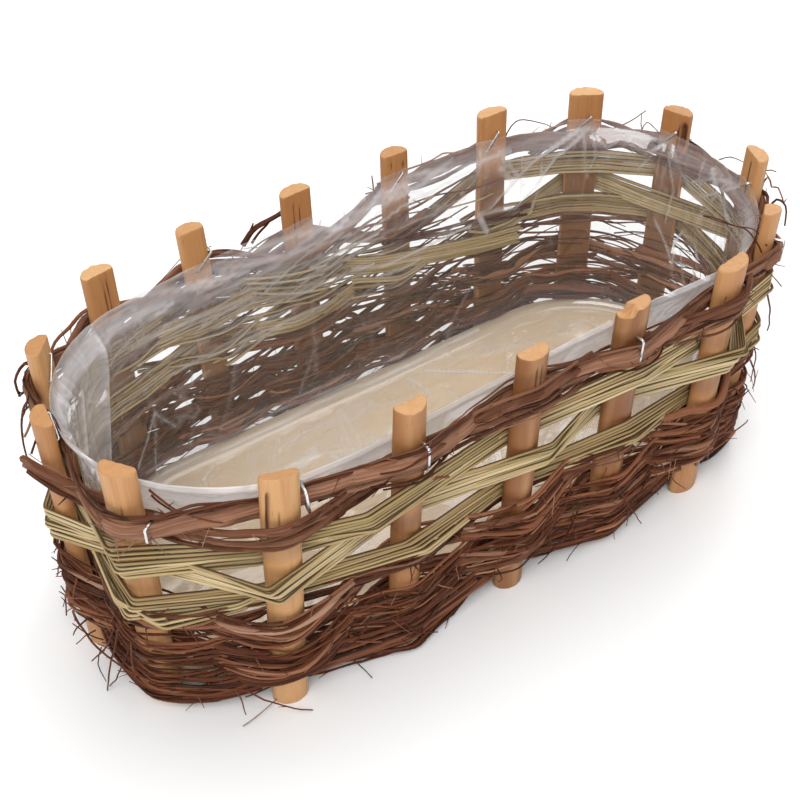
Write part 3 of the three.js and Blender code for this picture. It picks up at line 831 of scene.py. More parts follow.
def spur(b, rng, at, along, outward, length, r, mat, tint):
    """A short side shoot."""
    up = np.array([0, 0, 1.0])
    d = along * rng.uniform(0.3, 0.9) * rng.choice([-1, 1]) + outward * rng.uniform(0.15, 0.7) + up * rng.uniform(-0.8, 0.8)
    d /= np.linalg.norm(d)
    bend = outward * rng.uniform(-0.2, 0.3) + up * rng.uniform(-0.4, 0.4)
    t = np.linspace(0, 1, 5)[:, None]
    b.tube(at + d * length * t + bend * length * 0.35 * t ** 2, r * np.linspace(1.0, 0.5, 5), None, 5, mat, tint, None, False, seed=rng.uniform(0, 40))


# openings of the far wall: place along the weave, height, half length, half height, and how the line of sight runs on outward
SLITS = [
    (705, 102, 4.7, 1.8, 0.49, -0.9), (734, 87, 8.4, 2.3, 0.55, -0.94), (682, 103, 5.5, 1.9, 0.45, -0.9), (765, 68, 4.7, 1.8, 0.61, -0.97),
    (786, 66, 7.2, 2.1, 0.65, -0.98), (847, 40, 4.7, 1.8, 0.77, -1.03), (828, 33, 8.8, 2.3, 0.74, -1.05), (792, 50, 6.4, 2.0, 0.67, -1.01),
    (765, 53, 4.1, 1.8, 0.61, -1.01), (737, 52, 7.2, 2.1, 0.56, -1.01), (712, 61, 4.9, 1.9, 0.51, -0.99), (768, 37, 4.9, 1.9, 0.62, -1.04),
    (784, 31, 7.6, 2.2, 0.65, -1.05), (798, 31, 3.9, 1.8, 0.68, -1.05), (678, 72, 7.2, 2.1, 0.44, -0.97), (687, 61, 4.9, 1.9, 0.46, -0.99),
    (742, 39, 4.2, 1.8, 0.57, -1.03), (741, 32, 4.7, 1.8, 0.57, -1.05), (714, 44, 4.5, 1.8, 0.51, -1.02), (673, 58, 5.5, 1.9, 0.43, -0.99),
    (684, 42, 8.8, 2.3, 0.45, -1.03), (720, 30, 5.5, 1.9, 0.52, -1.05), (671, 33, 10.5, 2.5, 0.43, -1.05), (672, 22, 6.4, 2.0, 0.43, -1.07),
    (725, 52, 3.1, 1.7, 0.53, -1.01), (763, 60, 4.2, 1.8, 0.61, -0.99), (725, 66, 4.2, 1.8, 0.53, -0.98), (814, 47, 4.2, 1.8, 0.71, -1.02),
    (754, 64, 3.9, 1.8, 0.59, -0.98), (700, 78, 4.4, 1.8, 0.48, -0.95), (700, 48, 3.9, 1.8, 0.48, -1.02),
]


def part_at_slits(l, w, z, r):
    """The twigs of the far wall part a little round its openings."""
    z = z.copy()
    u0 = np.mod(l, PERI)
    for lc, zc, a, b, dl, dz in SLITS:
        # each twig parts by its own amount, and a few run straight across
        own = math.sin(l[0] * 12.99 + lc * 78.23 + z[0] * 3.7) * 43758.5453
        own -= math.floor(own)
        u = (u0 - dl * w - lc) / (a * 1.45) + 0.35 * (own - 0.5)
        m = np.abs(u) < 1
        if own < 0.07 or not m.any():
            continue
        v = z - dz * w - zc - 0.20 * a * u
        side = 1.0 if v[np.argmin(np.abs(u))] > 0 else -1.0
        if side * v[np.argmin(np.abs(u))] > 7:
            continue
        short = (b * (0.75 + 0.5 * own) + r) * np.clip(1 - np.abs(u) ** 1.3, 0, 1) - side * v
        z += side * np.where(m, np.maximum(short, 0), 0)
    return z


def lay_twig(b, rng, k0, k1, rank, layer, ra, rb=None, mat=1, tint=0.5, zn=1.0, zk=0.7, wk=0.35, sides=6, z_shift=0.0, taper=(1.0, 0.6),
             spring=(0.0, 0.0), lump=0.0, ridge=0.0, spurs=0.0, keep=2, waves=(60, 130, 260), drift=0.0, stray=0.0, under=False):
    rb = ra if rb is None else rb
    ends_at_17 = 28.0 < k1 < 28.3
    if ends_at_17:
        spring = (spring[0], max(spring[1], 4.5))
    l, w, z = swung_path(k0, k1, rank, layer, rb, z_shift, drift, rng.normal(0, stray, 24) if stray else None, under)
    z = z + wander(l, zn, waves, rng) + crook(l, zk, rng.uniform(11, 24), rng)
    out = w > DEPTH / 2
    w = w + np.where(out, 1.0, -0.4) * np.abs(wander(l, 0.5, (40, 90), rng)) + crook(l, wk, rng.uniform(10, 18), rng)
    for amt, d in ((spring[0], l - l[0]), (spring[1], l[-1] - l)):
        if amt:
            t = np.clip(1 - d / min(34.0, 0.3 * (l[-1] - l[0])), 0, 1) ** 1.7
            w = np.where(t > 0, np.maximum(w, w * (1 - t) + (DEPTH + rb + amt) * t), w)
            z = z + amt * rng.uniform(-0.8, 0.6) * t
    w = np.maximum(w, -5.6 + rb)
    # nothing dips into the base board behind the wall, or under the feet of the stakes
    if under:
        z = np.clip(z, 1.4 + ra, np.interp(w, [1.0 + rb, 4.0 + rb], [BOARD_Z[0] - 1.2, 60.0]) - ra)
    else:
        z = np.maximum(z, np.interp(w, [1.0 + rb, 9.4 + rb], [BOARD_Z[1] + 1.4, 1.4]) + ra)
    parted = smooth1(part_at_slits(l, w, z, ra), 1)
    if not under:
        parted = np.maximum(parted, np.interp(w, [1.0 + rb, 9.4 + rb], [BOARD_Z[1] + 1.4, 1.4]) + ra)
    pts = place(l, w, parted)
    if ends_at_17:
        # these run straight from behind stake 16 past stake 17
        i = int(np.searchsorted(l, lap(27) + 9.0))
        t = ((l[i:] - l[i]) / (l[-1] - l[i]))[:, None]
        straight = pts[i] + t * (pts[-1] - pts[i])
        pts[i:] = straight + 0.3 * (pts[i:] - straight)
    p = pts[::keep]
    n = len(p)
    if n < 4:
        return
    t = np.linspace(0, 1, n)
    scale = np.interp(t, [0, 0.5, 1], [taper[0], 1.0, taper[1]]) * (1 + 0.13 * np.sin(t * rng.uniform(25, 60) + rng.uniform(0, 6)) * np.sin(t * rng.uniform(8, 20)))
    b.tube(p, ra * scale, rb * scale, sides, mat, tint, wander(l[::keep], 0.5, (90, 200), rng), True, lump, ridge, rng.uniform(0, 40))
    if spurs:
        count = rng.poisson(spurs * (l[-1] - l[0]) / 100)
        for q in rng.integers(4, len(pts) - 4, count):
            if w[q] < 1.0:
                continue
            along = pts[q + 2] - pts[q - 2]
            along /= np.linalg.norm(along)
            nn = plan(np.array([S0 - l[q]]))[1]
            spur(b, rng, pts[q], along, np.array([nn[0, 0], nn[0, 1], 0.0]), rng.uniform(3, 11), min(rb * 0.55, rng.uniform(0.28, 0.5)), mat, min(1.0, tint + 0.1))


def lay_fill(b, rng, k0, k1, z, r, tint, mat=1, phase=None):
    """A thin twig of the far wall, laid at a level of its own."""
    wl, wv = [], []
    phase = rng.integers(0, 2) if phase is None else phase
    for kk in range(math.floor(k0) - 1, math.ceil(k1) + 2):
        st = ROUND[kk % 17]
        lk, hw = lap(kk) + STAKES[st][3] * z, STAKES[st][2] / 2
        if (kk + phase) % 2 == 0:
            w = DEPTH + 0.25 + r + rng.uniform(0, 2.4)
            wl += [lk - 1.5, lk + 1.5]
        else:
            w = max(-0.35 - r - rng.uniform(0, 2.4), -5.5 + r)
            wl += [lk - hw + 0.5, lk + hw - 0.5]
        wv += [w, w]
    l = np.linspace(lap(k0), lap(k1), max(10, int((lap(k1) - lap(k0)) / 1.5)))
    w = smooth1(np.interp(l, wl, wv), 3)
    h = z + rng.normal(0, 0.04) * (l - l.mean()) + wander(l, 1.5, (45, 110, 240), rng) + crook(l, 0.8, rng.uniform(11, 24), rng)
    h = np.maximum(h, np.interp(w, [1.0 + r, 9.4 + r], [BOARD_Z[1] + 1.4, 1.4]) + r)
    h = np.maximum(smooth1(part_at_slits(l, w, h, r), 1), np.interp(w, [1.0 + r, 9.4 + r], [BOARD_Z[1] + 1.4, 1.4]) + r)
    p = place(l, w, h)[::2]
    b.tube(p, r * np.linspace(1.0, 0.5, len(p)), None, 6, mat, tint, None, True, seed=rng.uniform(0, 40))
    for q in rng.integers(2, len(p) - 2, rng.poisson((l[-1] - l[0]) / 140)):
        along = p[q + 1] - p[q - 1]
        nn = plan(np.array([S0 - l[min(2 * q, len(l) - 1)]]))[1]
        spur(b, rng, p[q], along / np.linalg.norm(along), np.array([nn[0, 0], nn[0, 1], 0.0]), rng.uniform(3, 9), min(r * 0.55, 0.4), mat, tint)


def fill(b, seed, n, places, levels, size=(0.45, 0.95), phase=None, mat=1):
    rng = np.random.default_rng(seed)
    for _ in range(n):
        k0 = rng.uniform(*places)
        lay_fill(b, rng, k0, k0 + rng.uniform(1.6, 3.6), rng.uniform(*levels), rng.uniform(*size), 0.7 * rng.random(), mat, phase)


def lanes(rng, c, n, span, make, tucked=True, jitter=0.0, head=0.3, stop=17.0):
    """Fills n lanes of a course with strands laid end to end."""
    a0, a1 = 17 * c, 17 * c + stop
    for j in range(n):
        rank = (j + 0.5) / n - 0.5
        k = a0 - head - rng.uniform(-0.12, 0.12)
        while k < a1 - 0.3:
            end = k + rng.uniform(*span)
            if tucked:
                kk = round(end)
                if kk % 2 == 0:
                    kk += 1 if rng.random() < 0.5 else -1
                end = kk + rng.uniform(-0.1, 0.3)
            end = min(end, a1 + rng.uniform(-0.06, 0.06))
            if end - k > 1.0:
                make(j, rank + rng.uniform(-jitter, jitter), k, end)
            k = max(end - rng.uniform(0.2, 0.5), k + 0.6)


def twig_size(rng, place_k):
    """Half thickness of a twig: bark strips along the near right, hair-thin shoots round the left end."""
    q = rng.random()
    if 4.3 < place_k < 8.4:
        thick, middle = 0.26, 0.62
    elif 8.4 <= place_k < 12.6:
        thick, middle = 0.05, 0.36
    else:
        thick, middle = 0.16, 0.60
    if q < thick:
        return rng.uniform(1.4, 2.2)
    if q < middle:
        return rng.uniform(0.75, 1.2)
    return rng.uniform(0.4, 0.68)


def build_courses():
    made = []
    mats = [RUSH, TWIG, BARK]

    def thin(b, rng, size=(0.4, 0.85), zk=1.1, layer=(0.4, 3.4), spread=1.15, z_shift=0.0, out=0.3, bark=0.55):
        def make(j, rank, k0, k1):
            r = rng.uniform(*size)
            loose = r < 0.7
            lay_twig(b, rng, k0, k1, rank * spread, rng.uniform(*layer), r, r * rng.uniform(0.85, 1.0), 2 if rng.random() < bark else 1, rng.random(), 1.3, zk, 0.6, 6, z_shift,
                     (0.95, 0.45), (rng.choice([0, 0, 0, 3]) if loose else 0, rng.uniform(3, 9) if loose and rng.random() < out else 0), spurs=1.6, waves=(45, 110, 240), drift=rng.uniform(-0.8, 0.8))
        return make

    def cut_at_17(make):
        """Strands of the second bundle end past stake 17, and others start behind stake 1."""
        def part(j, rank, k0, k1):
            if k0 < 27.4 and k1 > 28.02:
                make(j, rank, k0, 28.03 + 0.025 * (j % 5))
            if k0 < 27.4 and k1 <= 28.02:
                make(j, rank, k0, k1)
            elif k1 > 29.6:
                make(j, rank, max(k0, 28.5 + 0.04 * (j % 4)), k1)
        return part

    # 1: a thick bark rod with thinner rods and twigs
    rng = np.random.default_rng(101)
    b = Builder()
    for k0, k1, t in ((-1.1, 4.3, 0.5), (3.7, 10.09, 0.75), (10.9, 16.15, 0.55)):
        lay_twig(b, rng, k0, k1, -0.02, 0.0, 3.5, 2.2, 2, t, 0.5, 0.5, 0.15, 22, 0, (0.9, 1.25 if k1 == 10.09 else 0.94), lump=0.34, ridge=0.34, keep=1, spurs=0.8)
    for rk, r in ((0.46, 1.05), (0.3, 0.8), (-0.46, 1.3), (-0.34, 0.9)):
        for k0, k1 in ((-1.1, 5.4), (4.7, 11.3), (10.7, 16.2)):
            lay_twig(b, rng, k0, k1, rk, rng.uniform(0.2, 1.4), r, r * 0.9, 2, rng.uniform(0.1, 0.8), 1.0, 0.9, 0.4, 9, 0, (0.85, 0.7), lump=0.25, ridge=0.14, spurs=1.0, drift=rng.uniform(-0.3, 0.3))
    lanes(rng, 0, 7, (3.0, 7.0), thin(b, rng), tucked=False, jitter=0.1, head=1.1, stop=16.15)
    made.append((b, "weave_course_1", "course_1_bark_rod", "bark"))

    # 2: brown rods and twigs
    rng = np.random.default_rng(102)
    b = Builder()
    for rk, r, runs in ((0.34, 2.0, ((17.5, 23.3), (22.7, 28.09), (28.6, 33.3))), (-0.06, 1.7, ((17.5, 21.3), (20.7, 28.13), (28.5, 33.7))),
                        (-0.42, 1.25, ((17.5, 24.2), (23.7, 28.05), (28.5, 33.9)))):
        for k0, k1 in runs:
            torn = 5.0 if 28.0 < k1 < 28.3 else 0.0
            lay_twig(b, rng, k0, k1, rk, rng.uniform(0, 0.4), r, r * 0.85, 2, rng.uniform(0.05, 0.6), 0.8, 0.7, 0.25, 14, 0, (0.85, 0.9), (0.0, torn),
                     lump=0.3, ridge=0.26, spurs=1.0, keep=1)
    lanes(rng, 1, 8, (3.0, 7.0), cut_at_17(thin(b, rng)), tucked=False, jitter=0.1, head=-0.5, stop=16.6)
    # a few go on inside stake 6
    for j in range(4):
        u = rng.uniform(-1.5, 1.5)
        lay_line(b, rng, [(789, -2.5, 109 + u), (801, -3.6, 106 + u), (830, -4.0, 100 + u * 1.4), (861, -4.2, 95.5 + u), (884 + rng.uniform(-8, 8), -3.6, 92 + u * 2)], rng.uniform(0.5, 0.95), rng.uniform(0.1, 0.5), 1, 0.9, 0.5)
    fill(b, 740, 18, (11.9, 15.2), (98, 122), (0.45, 0.85))
    made.append((b, "weave_course_2", "course_2_brown_twigs", "twigs"))

    # 3 to 5: rush; each course ends with cut ends on the far side
    for c, head, stop in ((2, 0.6, 15.12), (3, 0.25, 14.9), (4, -0.45, 15.6)):
        rng = np.random.default_rng(101 + c)
        b = Builder()

        def blade(j, rank, k0, k1):
            lay_rush(b, rng, k0, k1, rank, 0.3 * (j % 2) + rng.uniform(0, 0.3), rng.uniform(0.92, 1.06), rng.uniform(0.8, 0.92), rng.random())
        lanes(rng, c, 7, (6.0, 12.0), blade, head=head, stop=stop)

        def second(j, rank, k0, k1):
            if rng.random() < 0.55:
                lay_rush(b, rng, k0, k1, rank, 1.75 + rng.uniform(0, 0.3), rng.uniform(0.9, 1.02), rng.uniform(0.75, 0.88), rng.random())
        lanes(rng, c, 2, (2.0, 5.0), second, jitter=0.2, stop=14.0)
        if c == 2:
            for j in range(4):
                q = (j - 1.5) / 4
                lay_line(b, rng, [(697, 9.2, 113 + 9 * q), (712, 4.0, 111 + 11 * q), (728, -2.5, 108 + 14 * q), (740, -4.2, 105.5 + 16 * q), (754 + rng.uniform(-1.5, 1.5), -4.5, 103.2 + 18 * q)],
                         rng.uniform(0.92, 1.05), rng.random())
        if c == 3:
            # from behind stake 4 inside stakes 5 and 6
            for j in range(7):
                q = (j - 3) / 6
                zs = [(738, 7.5, 100, 11), (747.7, 10.4, 100, 11), (765, 6.5, 98.5, 10), (783, -1.5, 96, 9), (795, -4.0, 94.5, 9), (807, -4.2, 92.5, 9), (826, -4.3, 88, 9), (850, -4.3, 83.2, 9), (876 + rng.uniform(-2.5, 2.5), -4.3, 78.8, 9.5)]
                lay_line(b, rng, [(ll, ww, zz + q * hh) for ll, ww, zz, hh in zs], rng.uniform(0.92, 1.05), rng.random())
            for q in (0.0, 1.9):
                lay_line(b, rng, [(770, -3.6, 92.5 + q), (785, -4.2, 87 + q), (800, -4.6, 82 + q), (813, -4.4, 86 + q), (829, -4.0, 91 + q)], 0.95, rng.random())
        if c == 4:
            # a few blades bend lower at stake 16
            for j in range(3):
                lay_line(b, rng, [(548, 0.0, 80 + 2 * j), (521.5, 11.4, 69.4 + 2 * j), (503 + 2.2 * j, 11.0, 63.2 + 2.1 * j), (476, 0.5, 66 + 2 * j), (462, -3.4, 67.4 + 2 * j), (450, -3.6, 68 + 2 * j)][::-1],
                         rng.uniform(0.92, 1.02), rng.random(), chords=True)
            fill(b, 744, 22, (11.9, 15.4), (70, 98), (0.45, 0.85))
            fill(b, 746, 26, (11.7, 14.4), (76, 116), (0.8, 1.1), None, 0)
            fill(b, 745, 8, (15.0, 19.0), (66, 80), (0.4, 0.7))
            lanes(rng, c, 8, (3.0, 7.0), thin(b, rng, (0.45, 1.1), 0.9, (0.0, 2.4), 0.5, -9.5, 0.2), tucked=False, jitter=0.1)
        made.append((b, f"weave_course_{c + 1}", f"course_{c + 1}_rush", "rush"))

    # 6 to 8: twigs
    for c, n in ((5, 20), (6, 38), (7, 24)):
        rng = np.random.default_rng(101 + c)
        b = Builder()

        def twig(j, rank, k0, k1):
            mid = ((k0 + k1) / 2) % 17
            far = mid > 12.8 or mid < 3.6
            if far:
                # on the far side they lie in ropes with gaps between
                if rng.random() < (0.34 if mid < 3.6 or mid > 16.4 else 0.10):
                    return
                rope = round(rank * 3) / 3
                rank = rope + (rank - rope) * 0.8
            r = twig_size(rng, mid)
            if far:
                r *= 0.82
            elif rng.random() < 0.17:
                return
            rod, loose = r > 1.3, r < 0.7
            low = c == 6 and rank < -0.18
            lay_twig(b, rng, k0, k1, rank * 1.08, rng.uniform(0, 0.6 if rod else 3.6), r, r * rng.uniform(0.8, 1.0), 2 if rod and rng.random() < 0.45 else 1, rng.random(),
                     1.0 if far else 1.4, 1.2, 0.6, 10 if rod else 6, 0, (0.95, 0.45), (rng.choice([0, 0, 0, 3]) if loose else 0, rng.uniform(2, 9) if loose and rng.random() < 0.4 else 0),
                     lump=0.28 if rod else 0.0, ridge=0.26 if rod else 0.0, spurs=0.4 if rod else 0.9, waves=(45, 110, 240), drift=rng.uniform(-0.25, 0.25) if far or low else rng.uniform(-0.6, 0.6), stray=0.0 if low else (1.2 if far else 1.6), under=low)
        lanes(rng, c, n, (2.5, 6.0), twig, tucked=False, jitter=0.06)
        # the far wall is closed with thin twigs at every level
        fill(b, 700 + c, {5: 14, 6: 22, 7: 14}[c], (11.9, 15.4), {5: (52, 74), 6: (36, 56), 7: (28, 40)}[c], (0.9, 1.7))
        fill(b, 720 + c, {5: 4, 6: 7, 7: 7}[c], (15.0, 19.6), {5: (54, 70), 6: (38, 54), 7: (28, 38)}[c], (0.4, 0.8))
        if c == 7:
            fill(b, 730, 22, (11.9, 19.4), (15, 26), (0.5, 0.9), 1)
            fill(b, 731, 22, (15.0, 18.6), (7, 24), (0.5, 1.1))
        if c == 6:
            # short shoots over the edge of the board, between the stakes
            for k in (4, 6, 8, 10, 12):
                lk, before, after = LK[k], LK[k - 1] + STAKES[ROUND[k - 1]][2] / 2, LK[k + 1] - STAKES[ROUND[k + 1]][2] / 2
                for _ in range(11):
                    ze, r = rng.uniform(12, 27), rng.uniform(0.5, 1.1)
                    dip = rng.uniform(1, 7)
                    la, lb = before + rng.uniform(0.5, 9), after - rng.uniform(0.5, 9)
                    q = [(la, 2.6 + r, ze + rng.normal(0, 2)), ((la + lk) / 2, 7.2 + rng.uniform(0, 1.5), ze - dip / 2), (lk, DEPTH + 0.6 + r + rng.uniform(0, 2.6), ze - dip), ((lb + lk) / 2, 7.2 + rng.uniform(0, 1.5), ze - dip / 2), (lb, 2.6 + r, ze + rng.normal(0, 2))]
                    lay_line(b, rng, [(u, w, max(v, 2.2)) for u, w, v in q], r, 0.8 * rng.random(), 1, 0.92, 0.7)
            for dz in (-1.6, 0.4, 2.2, 4.0):
                lk, r = LK[9], rng.uniform(0.6, 0.95)
                lay_line(b, rng, [(lk - 30, 3.0, 24 + dz), (lk - 13, 8.6, 21.5 + dz), (lk + 1, DEPTH + 0.9 + r, 20.4 + dz), (lk + 14, 8.4, 20.8 + dz), (lk + 27, 3.0, 23 + dz)], r, 0.7 * rng.random(), 1, 0.92, 0.6)
        made.append((b, f"weave_course_{c + 1}", f"course_{c + 1}_twigs", "twigs"))

    for b, name, node, slot in made:
        finish_piece(b.mesh(name, mats), [node])


build_courses()


# ------------------------------------------------------------------ loose ends
# thin twigs that stand out of the weave: points (along the weave, outward, height) and thickness
LOOSE = [
    ([(561, 11, 42), (563, 14, 30), (563, 15.5, 18)], 0.5),
    ([(560, 12, 24), (545.5, 14.5, 31), (529.8, 15.5, 29), (513, 15.5, 26.5)], 0.6),
    ([(528, 11, 46), (533, 14, 30), (541.7, 16, 13)], 0.5),
    ([(525, 11, 48), (530, 15, 22), (533.6, 17, 1.2)], 0.55),
    ([(521, 11, 38), (527, 14, 18), (534, 15, 2)], 0.45),
    ([(520, 11, 42), (518.5, 15, 22)], 0.5),
    ([(492, 10, 22), (476, 12, 22), (464, 14, 10), (453, 16, 1.2)], 0.5),
    ([(480, 12, 24), (477, 15, 9)], 0.4),
    ([(588, 10, 126), (591, 14.5, 116), (584, 16, 105), (581, 15, 99)], 0.65),
    ([(606, 8, 130), (601, 13, 134), (594, 15.5, 131), (592, 14, 124)], 0.9),
    ([(610, 9, 122), (602, 14, 119), (594, 15.5, 122), (590, 13, 128)], 0.75),
    ([(604, 10, 114), (597, 14, 112), (590, 14, 117)], 0.6),
    ([(645, 6, 132), (634, 6.5, 133.5), (629, 11, 127), (622, 13, 124), (614, 12, 117), (606, 10, 114)], 1.0),
    ([(178, 10, 100), (177, 15, 88), (174, 16.5, 72)], 0.5),
    ([(181, 11, 58), (178, 15.5, 46), (172, 17, 30)], 0.5),
    ([(226, 10, 47), (206, 14, 34), (184, 17, 20)], 0.5),
    ([(276, 10, 36), (268, 14, 18), (261, 15.5, 7)], 0.4),
    ([(259, 10, 52), (257, 15, 40), (254.5, 16, 25)], 0.4),
    ([(250, 10, 40), (243, 15, 27), (233, 16, 15)], 0.4),
    ([(143, 8, 128), (146, 10, 141.6), (146.7, 12.5, 135.6), (151, 13.5, 138), (157, 15, 134)], 0.6),
    ([(150, 9, 124), (153, 13, 133), (160, 14.5, 136), (166, 14, 130)], 0.7),
    ([(141, 9, 132), (143, 10, 143), (148, 12, 146)], 0.45),
    ([(12, 9, 130), (16.8, 9.5, 137.4), (21.4, 10, 139), (27, 10, 137), (37, 9, 132)], 0.4),
    ([(56, 7, 127), (64, 8, 130), (72, 10, 135), (78, 12, 141.2)], 0.42),
    ([(78, 9, 128), (76, 10.5, 134), (75.6, 11, 140)], 0.32),
    ([(77, 9, 130), (79, 10, 136), (85, 10.5, 131.5), (91, 9, 130)], 0.35),
    ([(116, 8, 131), (121, 9, 135), (128, 10.5, 135.8)], 0.35),
    ([(792.9, 9, 128), (792.9, 10, 139.5)], 0.5),
    ([(718, 11, 128), (728, 12.5, 133), (742, 12, 136), (750, 11, 133)], 1.5),
    ([(724, 12, 126), (735, 13.5, 133.5), (745, 13, 138)], 0.7),
    ([(192, 4, 134), (190, -3, 142), (184, -16, 141.5), (176, -27, 138.5)], 0.42),
    ([(187, 5, 134), (185, -3, 140.5), (181, -15, 138.5), (176, -27, 138.5)], 0.36),
    ([(300, 9, 34), (312, 14, 28), (328, 15, 19)], 0.45),
    ([(404, 9, 26), (398, 14, 16), (386, 15, 8)], 0.45),
    ([(420, 10, 40), (430, 13.5, 33), (444, 14, 36)], 0.5),
    ([(345, 9, 60), (352, 13.5, 66), (362, 14, 64)], 0.45),
    ([(640, 10, 40), (652, 15, 30), (660, 16, 20)], 0.5),
    ([(700, 10, 50), (712, 15, 40), (726, 15, 36)], 0.5),
    ([(812, 10, 44), (826, 15, 36), (838, 16, 24)], 0.5),
    ([(30, 10, 50), (42, 15, 40), (52, 15, 34)], 0.5),
    ([(508, 11, 131), (501.5, 10, 133.6), (489, 2.5, 135.2), (478, -1.6, 132), (466, -3.4, 127.6), (455, -4.2, 126)], 0.75),
    ([(506, -3, 134.5), (497, 1.5, 133), (489, 4.5, 131.4), (478, 5.5, 128.6)], 0.55),
    ([(506, -3, 132), (496, 1.8, 130.6), (486, 4.5, 127.6)], 0.5),
    ([(383, 9, 129), (391, 13.8, 133.2), (399, 15.2, 133.6), (408, 14.4, 132), (416, 9, 129.5)], 0.7),
    ([(381, 8, 121), (390, 13.2, 122.6), (399, 15.2, 123), (410, 13.8, 124), (420, 8, 123)], 0.75),
    ([(386, 10, 121.4), (396, 15.0, 120.4), (405, 15, 121.2), (415, 10, 120)], 0.6),
    ([(264, 9, 123), (273, 14.2, 125.8), (282, 15.2, 127), (292, 12.5, 127), (300, 8, 125)], 0.75),
    ([(262, 8, 120.5), (272, 14.0, 122), (283, 15.2, 123.4), (294, 12, 125)], 0.7),
]


def build_loose():
    b = Builder()
    rng = np.random.default_rng(911)
    hairs = []
    # fine ends that hang out of the lower weave round both ends of the basket
    for n, a, c in ((16, 528, 606), (9, 128, 206), (8, 300, 450)):
        for _ in range(n):
            l, z = rng.uniform(a, c), rng.uniform(12, 62)
            run, fall = rng.normal(0, 9), rng.uniform(-4, 20)
            hairs.append(([(l, 9, z), (l + run * 0.4, rng.uniform(12, 15), z - fall * 0.35), (l + run, rng.uniform(14, 17), max(z - fall, 2))], rng.uniform(0.28, 0.5)))
    for pts, r in LOOSE + hairs:
        q = spline(pts, 2.5)
        q = q + np.stack([crook(np.arange(len(q)) * 2.5, 0.3, 7, rng) for _ in range(3)], 1)
        q[:, 2] = np.maximum(q[:, 2], r + 0.3)
        p = place(q[:, 0], q[:, 1], q[:, 2])
        b.tube(p, r * np.linspace(1.0, 0.62, len(p)), None, 7, 1, rng.uniform(0.1, 0.8), None, False, 0.15, 0.0, rng.uniform(0, 40))
        if r > 0.45 and len(p) > 7 and rng.random() < 0.6:
            j = rng.integers(2, len(p) - 2)
            along = p[j + 1] - p[j - 1]
            spur(b, rng, p[j], along / np.linalg.norm(along), np.array([0, 0, 0.4]), rng.uniform(3, 8), r * 0.5, 1, 0.4)
    return finish_piece(b.mesh("loose_twigs", [RUSH, TWIG, BARK]), [])


build_loose()


# ------------------------------------------------------------------ base board
def build_board():
    b = Builder()
    m = 160
    s = np.arange(m) / m * PERI
    p, n = plan(s)
    rows = [(14.0, -6.0), (14.0, -1.3), (14.25, -0.75), (14.9, -0.45), (19, -0.4), (25.1, -0.45), (25.75, -0.75), (26.0, -1.3), (26.0, -6.0)]
    verts, faces = [], []
    for z, off in rows:
        verts.append(np.concatenate([p + n * off, np.full((m, 1), z)], 1))
    v = np.concatenate(verts)
    idx = np.arange(len(rows) * m).reshape(len(rows), m)
    nxt = np.roll(idx, -1, 1)
    faces = np.stack([idx[:-1], nxt[:-1], nxt[1:], idx[1:]], -1).reshape(-1, 4).tolist()
    faces.append(idx[0, ::-1].tolist())
    faces.append(idx[-1].tolist())
    b.add(v, faces, v * 0.001, 0.5)
    ob = b.mesh("ply_base_board", [BOARD])
    return finish_piece(ob, ["base_board"])


build_board()


